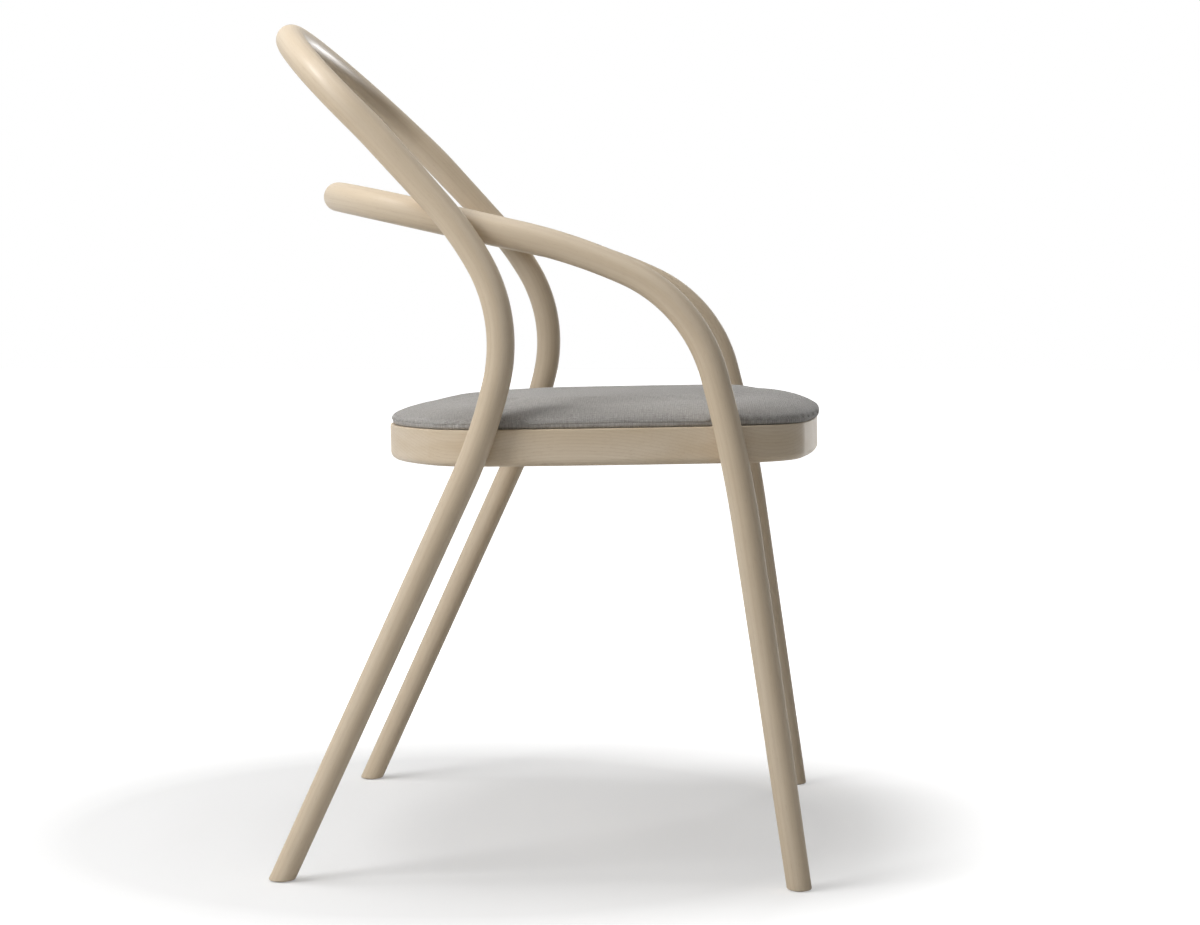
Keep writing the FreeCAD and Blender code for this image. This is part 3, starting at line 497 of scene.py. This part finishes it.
def pad_blank():
    """The pad as cut foam: smaller than the finished pad by its later swelling."""
    levels = [(PAD_BASE, [e - PAD_SKIRT for e in PAD_EDGE])]
    levels.append((BOARD_TOP / 2, [e - PAD_SWELL - PAD_SKIRT for e in PAD_EDGE]))
    for number in range(PAD_LEVELS + 1):
        share = math.sin(math.pi / 2 * number / PAD_LEVELS)
        height = BOARD_TOP + share * (PAD_CROWN - PAD_SHRINK - BOARD_TOP)
        turn_in = -math.log(1 - PAD_FLATTEN * share)
        shrink = PAD_SHRINK * min(1.0, (height - BOARD_TOP) / PAD_SHRINK_RISE) - PAD_SKIRT
        levels.append((height, [e + shrink + r * turn_in for e, r in zip(PAD_EDGE, PAD_ROLL)]))
    verts = []
    for height, drawn in levels:
        ring = Outline(*drawn).points()
        verts += [p + UP * height for p in ring]
    count = len(ring)
    faces = rings_to_faces(len(levels), count)
    faces.append(tuple(reversed(range(count))))
    faces.append(tuple(range((len(levels) - 1) * count, len(levels) * count)))
    return add_object("seat_cushion", verts, faces)


def remeshed(obj):
    """Even small faces over the whole form."""
    remesh = obj.modifiers.new("even", "REMESH")
    remesh.mode = "VOXEL"
    remesh.voxel_size = VOXEL
    soften = obj.modifiers.new("soften", "SMOOTH")
    soften.factor = SOFTEN
    soften.iterations = SOFTEN_ROUNDS
    graph = bpy.context.evaluated_depsgraph_get()
    mesh = bpy.data.meshes.new_from_object(obj.evaluated_get(graph))
    obj.modifiers.clear()
    obj.data = mesh


def filled(obj):
    """Blow the cover up from inside; it is held where it is fixed to the board."""
    held = obj.vertex_groups.new(name="held")
    low = [v.index for v in obj.data.vertices if v.co.z < BOARD_TOP * HELD_SHARE]
    held.add(low, 1.0, "REPLACE")
    cloth = obj.modifiers.new("cloth", "CLOTH")
    cloth.settings.quality = CLOTH_QUALITY
    cloth.settings.mass = CLOTH_MASS
    cloth.settings.tension_stiffness = CLOTH_STIFFNESS
    cloth.settings.compression_stiffness = CLOTH_STIFFNESS
    cloth.settings.bending_stiffness = CLOTH_BENDING
    cloth.settings.use_pressure = True
    cloth.settings.uniform_pressure_force = CLOTH_PRESSURE
    cloth.settings.effector_weights.gravity = 0
    cloth.settings.vertex_group_mass = "held"
    cloth.point_cache.frame_start = 1
    cloth.point_cache.frame_end = SIM_FRAMES
    scene = bpy.context.scene
    for number in range(1, SIM_FRAMES + 1):
        scene.frame_set(number)
    graph = bpy.context.evaluated_depsgraph_get()
    swollen = [v.co.copy() for v in obj.evaluated_get(graph).data.vertices]
    obj.modifiers.clear()
    scene.frame_set(1)
    for vertex, place in zip(obj.data.vertices, swollen):
        move = place - vertex.co
        # the foam keeps the cover from sinking in
        move -= vertex.normal * min(0.0, move.dot(vertex.normal))
        if move.length > PAD_MOVE:
            move = move * (PAD_MOVE / move.length)
        vertex.co += move


def unrolled(obj):
    """Weave coordinates: the cover laid flat, measured out over its sides."""
    values = []
    for vertex in obj.data.vertices:
        level = Vector((vertex.normal.x, vertex.normal.y, 0))
        drop = PAD_CROWN - vertex.co.z
        if level.length > UPRIGHT:
            level = level.normalized() * drop
        values.append((vertex.co.x + level.x, vertex.co.y + level.y, 0.0))
    add_vector_attribute(obj, "weave", values)


def seat_cushion():
    """The upholstered pad, filled out and laid on the tilted seat."""
    obj = pad_blank()
    remeshed(obj)
    filled(obj)
    obj.data.polygons.foreach_set("use_smooth", [True] * len(obj.data.polygons))
    unrolled(obj)
    obj.data.transform(SEAT)
    finer = obj.modifiers.new("finer", "SUBSURF")
    finer.levels = 1
    finer.render_levels = 1
    return obj


# the turned edge in section: inset from the pad's edge, and height
EDGE_OUTER = [
    (0.0010, 0.0066),
    (0.0002, 0.0040),
    (0.0003, 0.0024),
    (0.0010, 0.0010),
    (0.0022, 0.0003),
    (0.0040, 0.0),
]
EDGE_INNER = [(0.0040, COVER_THICKNESS), (0.0024, 0.0024), (0.0020, 0.0066)]
TRIM_WAVES = 5
TRIM_RATE = (5, 30)
TRIM_START = (0, 6.3)
TRIM_RIPPLE = 0.0012


def edge_ring(draw, height):
    """One row of the turned edge."""
    ring = Outline(*[e + draw for e in PAD_EDGE]).points()
    return [p + UP * height for p in ring]


def cover_edge():
    """The cover's edge, turned under the board and cut by hand, slightly uneven."""
    wobble = random.Random(7)
    trim = Outline().points(COVER_WRAP)
    count = len(trim)
    waves = []
    for _ in range(TRIM_WAVES):
        rate = wobble.uniform(*TRIM_RATE)
        waves.append((rate, wobble.uniform(*TRIM_START)))
    cut = []
    for number, point in enumerate(trim):
        around = 2 * math.pi * number / count
        ripple = sum(math.sin(round(rate) * around + start) for rate, start in waves)
        cut.append(point * (1 + TRIM_RIPPLE * ripple))
    rows = [edge_ring(draw, height) for draw, height in EDGE_OUTER]
    rows.append([p.copy() for p in cut])
    rows.append([p + UP * COVER_THICKNESS for p in cut])
    rows += [edge_ring(draw, height) for draw, height in EDGE_INNER]
    verts = [p for row in reversed(rows) for p in row]
    obj = add_object("cover_edge", verts, rings_to_faces(len(rows), count, True))
    add_vector_attribute(obj, "weave", [(v.co.x, v.co.y, 0) for v in obj.data.vertices])
    obj.data.transform(SEAT)
    return obj


STAPLE_SPACING = 0.034
STAPLE_LENGTH = 0.010
STAPLE_WIRE = 0.0006
STAPLE_INSET = 0.0255
STAPLE_LEAN = 0.35
STAPLE_SIDES = 8


def staples():
    """Wire staples that hold the cover's edge to the board, as one piece."""
    scatter = random.Random(3)
    line = Outline().points(STAPLE_INSET)
    verts = []
    faces = []
    travelled = 0.0
    due = STAPLE_SPACING / 2
    for first, second in zip(line, line[1:] + line[:1]):
        run = (second - first).length
        if travelled + run >= due:
            place = first.lerp(second, (due - travelled) / run)
            lean = math.atan2(second.y - first.y, second.x - first.x)
            lean += scatter.uniform(-STAPLE_LEAN, STAPLE_LEAN)
            add_staple(verts, faces, place, lean)
            due += STAPLE_SPACING
        travelled += run
    obj = add_object("cover_staples", verts, faces)
    obj.data.transform(SEAT)
    return obj


def add_staple(verts, faces, place, lean):
    """A flat wire crown with its two legs bent up into the board."""
    along = Vector((math.cos(lean), math.sin(lean), 0))
    aside = Vector((-math.sin(lean), math.cos(lean), 0))
    half = STAPLE_LENGTH / 2
    wire = STAPLE_WIRE / 2
    route = [(-half, wire * 5), (-half, wire), (-half + wire * 2, -wire)]
    route += [(half - wire * 2, -wire), (half, wire), (half, wire * 5)]
    headings = [(0, -1), (0.6, -0.8), (1, -0.2), (1, 0.2), (0.6, 0.8), (0, 1)]
    start = len(verts)
    for (run, rise), (ahead, climb) in zip(route, headings):
        tilt = (along * ahead + UP * climb).normalized()
        lift = tilt.cross(aside)
        for number in range(STAPLE_SIDES):
            turn = 2 * math.pi * number / STAPLE_SIDES
            out = aside * math.cos(turn) + lift * math.sin(turn)
            verts.append(place + along * run + UP * rise + out * wire)
    rows = len(route)
    for face in rings_to_faces(rows, STAPLE_SIDES):
        faces.append(tuple(start + i for i in face))
    end = start + (rows - 1) * STAPLE_SIDES
    faces.append(tuple(start + i for i in reversed(range(STAPLE_SIDES))))
    faces.append(tuple(end + i for i in range(STAPLE_SIDES)))


# Materials
class Shader:
    """A material and short ways to add and join its nodes."""

    def __init__(self, name):
        self.material = bpy.data.materials.new(name)
        self.material.use_nodes = True
        self.tree = self.material.node_tree
        self.surface = self.tree.nodes["Principled BSDF"]

    def feed(self, socket, value):
        """Join an input to another node, or set it to a constant."""
        if isinstance(value, bpy.types.NodeSocket):
            self.tree.links.new(value, socket)
        else:
            socket.default_value = value

    def add(self, kind, inputs=None, **settings):
        node = self.tree.nodes.new(kind)
        for key, value in settings.items():
            setattr(node, key, value)
        for key, value in (inputs or {}).items():
            self.feed(node.inputs[key], value)
        return node

    def math(self, operation, first, second=0.0):
        return self.add("ShaderNodeMath", {0: first, 1: second}, operation=operation).outputs[0]

    def noise(self, vector, stretch, detail=2.0, rough=0.5):
        """Noise whose scale differs along each axis."""
        mapped = self.add("ShaderNodeMapping", {"Vector": vector, "Scale": stretch})
        inputs = {"Vector": mapped.outputs[0], "Scale": 1.0, "Detail": detail, "Roughness": rough}
        return self.add("ShaderNodeTexNoise", inputs).outputs["Fac"]

    def range(self, value, low, high, start=0.0, end=1.0):
        inputs = {"Value": value, "From Min": low, "From Max": high, "To Min": start, "To Max": end}
        return self.add("ShaderNodeMapRange", inputs).outputs[0]

    def blend(self, share, first, second):
        """A mix of two colours."""
        inputs = {0: share, 6: first, 7: second}
        return self.add("ShaderNodeMix", inputs, data_type="RGBA").outputs[2]

    def bump(self, height, distance, strength=1.0):
        inputs = {"Height": height, "Distance": distance, "Strength": strength}
        return self.add("ShaderNodeBump", inputs).outputs[0]

    def finish(self, **sockets):
        names = {"colour": "Base Color", "rough": "Roughness", "normal": "Normal"}
        for key, value in sockets.items():
            self.feed(self.surface.inputs[names.get(key, key)], value)
        return self.material


def srgb(red, green, blue):
    """A display colour, 0 to 255, as the linear colour a material takes."""
    def linear(value):
        value /= 255
        return value / 12.92 if value <= 0.04045 else ((value + 0.055) / 1.055) ** 2.4

    return (linear(red), linear(green), linear(blue), 1.0)


BEECH_PALE = srgb(213, 198, 176)
BEECH_WARM = srgb(205, 187, 161)
BEECH_DARK = srgb(170, 144, 113)
# how often the figure changes along the grain, and twice across it, per metre
BROAD_FIGURE = (2.2, 70, 70)
FIBRE_FIGURE = (22, 1100, 1100)
FLECK_FIGURE = (130, 1500, 1500)
LOG_MIDDLE = (0, 0.055, 0.021)
LOG_STRETCH = (0.04, 1, 1)
LACQUER_ROUGH = (0.40, 0.52)
LACQUER_SHINE = 0.16


def grain_of_rod(shader):
    """Grain that follows a rod round its bends."""
    return shader.add("ShaderNodeAttribute", attribute_name="grain").outputs["Vector"]


def place_of(shader):
    return shader.add("ShaderNodeTexCoord").outputs["Object"]


RING_MIDDLE_Y = -0.05
RING_GRAIN_RADIUS = 0.22


def grain_of_ring(shader):
    """Grain that runs round the ring."""
    parts = shader.add("ShaderNodeSeparateXYZ", {0: place_of(shader)})
    x = parts.outputs[0]
    y = shader.math("SUBTRACT", parts.outputs[1], RING_MIDDLE_Y)
    around = shader.math("ARCTAN2", x, shader.math("MULTIPLY", y, -1.0))
    along = shader.math("MULTIPLY", around, RING_GRAIN_RADIUS)
    square = shader.math("ADD", shader.math("MULTIPLY", x, x), shader.math("MULTIPLY", y, y))
    out = shader.math("SQRT", square)
    inputs = {0: along, 1: out, 2: parts.outputs[2]}
    return shader.add("ShaderNodeCombineXYZ", inputs).outputs[0]


def grain_along(axis):
    """Straight grain along one axis of the chair."""
    def coordinates(shader):
        turn = {"x": (0, 0, 0), "y": (0, 0, -math.pi / 2)}[axis]
        inputs = {"Vector": place_of(shader), "Rotation": turn}
        return shader.add("ShaderNodeMapping", inputs).outputs[0]

    return coordinates


def beech(name, coordinates, ring_pitch=0.0026, depth=1.0):
    """Steamed beech under a matt lacquer: growth lines, fibres and short flecks."""
    shader = Shader(name)
    grain = coordinates(shader)
    inputs = {"Vector": grain, "Location": LOG_MIDDLE, "Scale": LOG_STRETCH}
    log = shader.add("ShaderNodeMapping", inputs).outputs[0]
    inputs = {
        "Vector": log,
        "Scale": 2 * math.pi / (20 * ring_pitch),
        "Distortion": 3.5,
        "Detail": 2.0,
        "Detail Scale": 0.6,
    }
    wave = shader.add("ShaderNodeTexWave", inputs, wave_type="RINGS", rings_direction="X")
    rings = wave.outputs["Fac"]
    broad = shader.noise(grain, BROAD_FIGURE)
    fibres = shader.noise(grain, FIBRE_FIGURE, 3.0, 0.6)
    flecks = shader.noise(grain, FLECK_FIGURE, 1.0)
    tone = shader.blend(shader.range(broad, 0.3, 0.7), BEECH_PALE, BEECH_WARM)
    lines = shader.range(rings, 0.55, 1.0, 0.0, 0.12 * depth)
    tone = shader.blend(lines, tone, BEECH_DARK)
    tone = shader.blend(shader.range(fibres, 0.45, 0.75, 0.0, 0.14 * depth), tone, BEECH_DARK)
    tone = shader.blend(shader.range(flecks, 0.62, 0.72, 0.0, 0.20 * depth), tone, BEECH_DARK)
    rough = shader.range(fibres, 0.3, 0.7, *LACQUER_ROUGH)
    normal = shader.bump(fibres, 0.00012, 0.35)
    shine = {"Specular IOR Level": LACQUER_SHINE}
    return shader.finish(colour=tone, rough=rough, normal=normal, **shine)


def plywood():
    """The board's sanded face, with its wider veneer figure."""
    return beech("plywood_face", grain_along("y"), 0.011, 1.5)


THREAD = 0.0020
FABRIC_LIGHT = srgb(196, 193, 189)
FABRIC_MIDDLE = srgb(170, 167, 163)
FABRIC_DARK = srgb(123, 119, 115)


def fabric():
    """A plain-woven warm grey cloth of mixed yarns."""
    shader = Shader("cover_weave")
    cloth = shader.add("ShaderNodeAttribute", attribute_name="weave").outputs["Vector"]
    parts = shader.add("ShaderNodeSeparateXYZ", {0: cloth})
    pull = shader.noise(cloth, (90, 90, 90), 1.0)
    shift = shader.range(pull, 0.0, 1.0, -0.8, 0.8)
    turns = math.pi / THREAD
    warp_phase = shader.math("ADD", shader.math("MULTIPLY", parts.outputs[0], turns), shift)
    weft_phase = shader.math("ADD", shader.math("MULTIPLY", parts.outputs[1], turns), shift)
    over = shader.math(
        "MULTIPLY", shader.math("SINE", warp_phase), shader.math("SINE", weft_phase)
    )
    height = shader.math("ABSOLUTE", over)
    warp_yarn = shader.noise(cloth, (900, 60, 1), 2.0)
    weft_yarn = shader.noise(cloth, (60, 900, 1), 2.0)
    side = shader.range(over, -0.05, 0.05)
    yarn = shader.add("ShaderNodeMix", {0: side, 2: warp_yarn, 3: weft_yarn}).outputs[0]
    speck = shader.noise(cloth, (330, 330, 1), 2.0, 0.6)
    cloud = shader.noise(cloth, (9, 9, 9), 2.0)
    tone = shader.blend(shader.range(yarn, 0.3, 0.7), FABRIC_DARK, FABRIC_LIGHT)
    tone = shader.blend(0.35, tone, FABRIC_MIDDLE)
    tone = shader.blend(shader.range(speck, 0.50, 0.72, 0.0, 0.50), tone, FABRIC_DARK)
    # painted shade: the cloth is darker where the weave lies low between threads
    tone = shader.blend(shader.range(height, 0.0, 0.5, 0.30, 0.0), tone, FABRIC_DARK)
    tone = shader.blend(shader.range(cloud, 0.35, 0.65, 0.0, 0.10), tone, FABRIC_LIGHT)
    normal = shader.bump(height, 0.00035, 0.6)
    rough = shader.range(speck, 0.3, 0.7, 0.86, 0.96)
    finish = {"Specular IOR Level": 0.2, "Sheen Weight": 0.26, "Sheen Roughness": 0.5}
    return shader.finish(colour=tone, rough=rough, normal=normal, **finish)


def zinc():
    """Bright zinc plating with faint clouding."""
    shader = Shader("zinc_plate")
    place = place_of(shader)
    cloud = shader.noise(place, (260, 260, 260), 3.0)
    scratch = shader.noise(place, (900, 900, 90), 2.0)
    tone = shader.blend(cloud, srgb(168, 172, 178), srgb(204, 205, 204))
    rough = shader.range(scratch, 0.3, 0.7, 0.24, 0.42)
    normal = shader.bump(scratch, 0.00004, 0.3)
    return shader.finish(colour=tone, rough=rough, normal=normal, Metallic=1.0)


def nylon():
    """Pale moulded nylon, scuffed where it slides."""
    shader = Shader("glide_nylon")
    place = place_of(shader)
    scuff = shader.noise(place, (500, 140, 300), 3.0)
    tone = shader.blend(scuff, srgb(196, 188, 174), srgb(172, 163, 150))
    rough = shader.range(scuff, 0.3, 0.7, 0.38, 0.6)
    normal = shader.bump(scuff, 0.00005, 0.4)
    return shader.finish(colour=tone, rough=rough, normal=normal)


def dress(obj, material):
    obj.data.materials.clear()
    obj.data.materials.append(material)


# Pieces
half_back = half_back_bow()
half_arm, arm_point, outward = half_arm_bow(half_back)
contact = arm_point + outward * (RAIL_RADIUS - CROSSING_FLAT)
arch_normal = Vector((0, math.sin(ARCH_LEAN), math.cos(ARCH_LEAN)))
rail_normal = Vector((0, math.cos(ARM_SLOPE), math.sin(ARM_SLOPE)))
back_bow = bow_mesh("bent_back", half_back, arch_normal, contact, -outward)
arm_bow = bow_mesh("bent_arms", half_arm, rail_normal, contact, outward)
cushion = seat_cushion()
edge = cover_edge()
clips = staples()

rod_wood = beech("beech_rod", grain_of_rod, depth=0.75)
ring_wood = beech("beech_ring", grain_of_ring)
block_wood = beech("beech_block", grain_along("y"))
plug_wood = beech("beech_plug", grain_along("x"), 0.0018, 1.3)
weave = fabric()
plate = zinc()
glide_plastic = nylon()

for piece, cad_nodes in (
    (back_bow, ["back_bow"]),
    (arm_bow, ["arm_bow"]),
    (cushion, ["seat_cover", "seat_foam"]),
):
    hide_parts(*cad_nodes)
for piece in (back_bow, arm_bow, cushion, edge, clips):
    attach(piece, "root")
dress(back_bow, rod_wood)
dress(arm_bow, rod_wood)
dress(cushion, weave)
dress(edge, weave)
dress(clips, plate)
NODE_FINISH = [
    ("seat_ring", ring_wood),
    ("seat_board", plywood()),
    ("leg_block", block_wood),
    ("arm_plug", plug_wood),
    ("glide", glide_plastic),
    ("leg_bolts", plate),
    ("leg_washers", plate),
    ("leg_inserts", plate),
    ("seat_bolts", plate),
    ("seat_washers", plate),
    ("seat_nuts", plate),
    ("arm_screws", plate),
]
for name, node in nodes.items():
    for start, finish in NODE_FINISH:
        if name.startswith(start):
            dress(node, finish)

# Floor, light and camera
FLOOR_SIZE = 40.0
FLOOR_TONE = 0.64
# near the chair the floor glows only this much for camera rays, and rises to white between the two
# distances below: painted shade around and in the chair's real shadow
FLOOR_LIFT = 0.295
FLOOR_PAINTED_SHADE_MIDDLE = (0.0, 0.10, 0.0)
FLOOR_PAINTED_SHADE_REACH = (0.38, 0.82)
# the studio is brighter behind the chair's back than before its front
BRIGHT_SIDE = Vector((-0.75, 0.60, 0.28))
AMBIENT_RANGE = (-0.8, 0.9)
AMBIENT_DIM = 0.0
AMBIENT_BRIGHT = 0.43


def floor_material():
    """A pale floor that glows to white away from the chair; nearer the chair its glow is lower, a
    painted shade that widens the chair's real shadow into a grey pool.
    """
    shader = Shader("pale_floor")
    shader.finish(colour=(FLOOR_TONE, FLOOR_TONE, FLOOR_TONE, 1.0), rough=0.9)
    path = shader.add("ShaderNodeLightPath").outputs
    seen = shader.math("MAXIMUM", path["Is Camera Ray"], path["Is Glossy Ray"])
    seen = shader.math("MAXIMUM", seen, path["Is Transmission Ray"])
    inputs = {0: place_of(shader), 1: FLOOR_PAINTED_SHADE_MIDDLE}
    reach = shader.add("ShaderNodeVectorMath", inputs, operation="DISTANCE")
    # painted shade: the floor glows less near the chair, so it shows grey there
    painted_shade_glow = shader.range(reach.outputs["Value"], *FLOOR_PAINTED_SHADE_REACH, FLOOR_LIFT, 1.0)
    strength = shader.math("MULTIPLY", seen, painted_shade_glow)
    shader.surface.inputs["Emission Color"].default_value = (1, 1, 1, 1)
    shader.tree.links.new(strength, shader.surface.inputs["Emission Strength"])
    return shader.material


half_floor = FLOOR_SIZE / 2
corners = [(-1, -1), (1, -1), (1, 1), (-1, 1)]
floor_points = [(x * half_floor, y * half_floor, 0) for x, y in corners]
floor = add_object("floor", floor_points, [(0, 1, 2, 3)], smooth=False)
floor.data.materials.append(floor_material())

scene = bpy.context.scene
scene.view_settings.view_transform = "Standard"
world = bpy.data.worlds.new("studio")
scene.world = world
world.use_nodes = True
tree = world.node_tree
background = tree.nodes["Background"]
background.inputs["Color"].default_value = (1, 1, 1, 1)
path = tree.nodes.new("ShaderNodeLightPath")
shown = path.outputs["Is Camera Ray"]
for ray in ("Is Glossy Ray", "Is Transmission Ray"):
    either = tree.nodes.new("ShaderNodeMath")
    either.operation = "MAXIMUM"
    tree.links.new(shown, either.inputs[0])
    tree.links.new(path.outputs[ray], either.inputs[1])
    shown = either.outputs[0]
aim = tree.nodes.new("ShaderNodeVectorMath")
aim.operation = "DOT_PRODUCT"
aim.inputs[1].default_value = BRIGHT_SIDE.normalized()
direction = tree.nodes.new("ShaderNodeTexCoord")
tree.links.new(direction.outputs["Generated"], aim.inputs[0])
ambient = tree.nodes.new("ShaderNodeMapRange")
ambient.inputs["From Min"].default_value = AMBIENT_RANGE[0]
ambient.inputs["From Max"].default_value = AMBIENT_RANGE[1]
ambient.inputs["To Min"].default_value = AMBIENT_DIM
ambient.inputs["To Max"].default_value = AMBIENT_BRIGHT
tree.links.new(aim.outputs["Value"], ambient.inputs["Value"])
strength = tree.nodes.new("ShaderNodeMix")
strength.inputs[3].default_value = 1.0
tree.links.new(shown, strength.inputs[0])
tree.links.new(ambient.outputs[0], strength.inputs[2])
tree.links.new(strength.outputs[0], background.inputs["Strength"])

CHAIR_MIDDLE = Vector((0, 0, 0.42))


def place_lamp(data, place, target):
    lamp = bpy.data.objects.new(data.name, data)
    lamp.location = place
    lamp.rotation_mode = "QUATERNION"
    lamp.rotation_quaternion = (target - Vector(place)).to_track_quat("-Z", "Y")
    scene.collection.objects.link(lamp)
    return lamp


def softbox(name, place, size, watts):
    """A rectangular lamp that faces the chair."""
    data = bpy.data.lights.new(name, "AREA")
    data.shape = "RECTANGLE"
    data.size = size[0]
    data.size_y = size[1]
    data.energy = watts
    return place_lamp(data, place, CHAIR_MIDDLE)


def shine_only(lamp):
    """Let a lamp show in the lacquer as a pale card does, with no other light."""
    lamp.visible_diffuse = False
    lamp.visible_camera = False


softbox("top", (-0.02, 0.24, 2.4), (0.55, 0.55), 17)
softbox("key", (-1.3, 1.65, 1.6), (1.0, 1.0), 29)
softbox("front_fill", (2.4, -1.0, 0.7), (0.6, 2.0), 9)
shine_only(softbox("rear_card", (-0.45, 1.20, 2.2), (0.4, 0.4), 60))

# a glint inside the top of the back loop, from a lamp with a narrow cone
GLINT_PLACE = (1.32, -0.60, 0.84)
GLINT_TARGET = Vector((0.07, 0.24, 0.80))
glint_data = bpy.data.lights.new("loop_glint", "SPOT")
glint_data.energy = 70
glint_data.spot_size = math.radians(9)
glint_data.spot_blend = 0.6
glint_data.shadow_soft_size = 0.08
shine_only(place_lamp(glint_data, GLINT_PLACE, GLINT_TARGET))

CAMERA_PLACE = Vector((-2.4879, -0.2314, 0.5300))
CAMERA_YAW = math.radians(4.20)
CAMERA_PITCH = math.radians(-3.50)
LENS = 73.5
SENSOR = 36.0
camera_data = bpy.data.cameras.new("camera")
camera_data.sensor_fit = "HORIZONTAL"
camera_data.sensor_width = SENSOR
camera_data.lens = LENS
camera = bpy.data.objects.new("camera", camera_data)
look = Vector((
    math.cos(CAMERA_YAW) * math.cos(CAMERA_PITCH),
    math.sin(CAMERA_YAW) * math.cos(CAMERA_PITCH),
    math.sin(CAMERA_PITCH),
))
camera.location = CAMERA_PLACE
camera.rotation_mode = "QUATERNION"
camera.rotation_quaternion = look.to_track_quat("-Z", "Y")
scene.collection.objects.link(camera)
scene.camera = camera
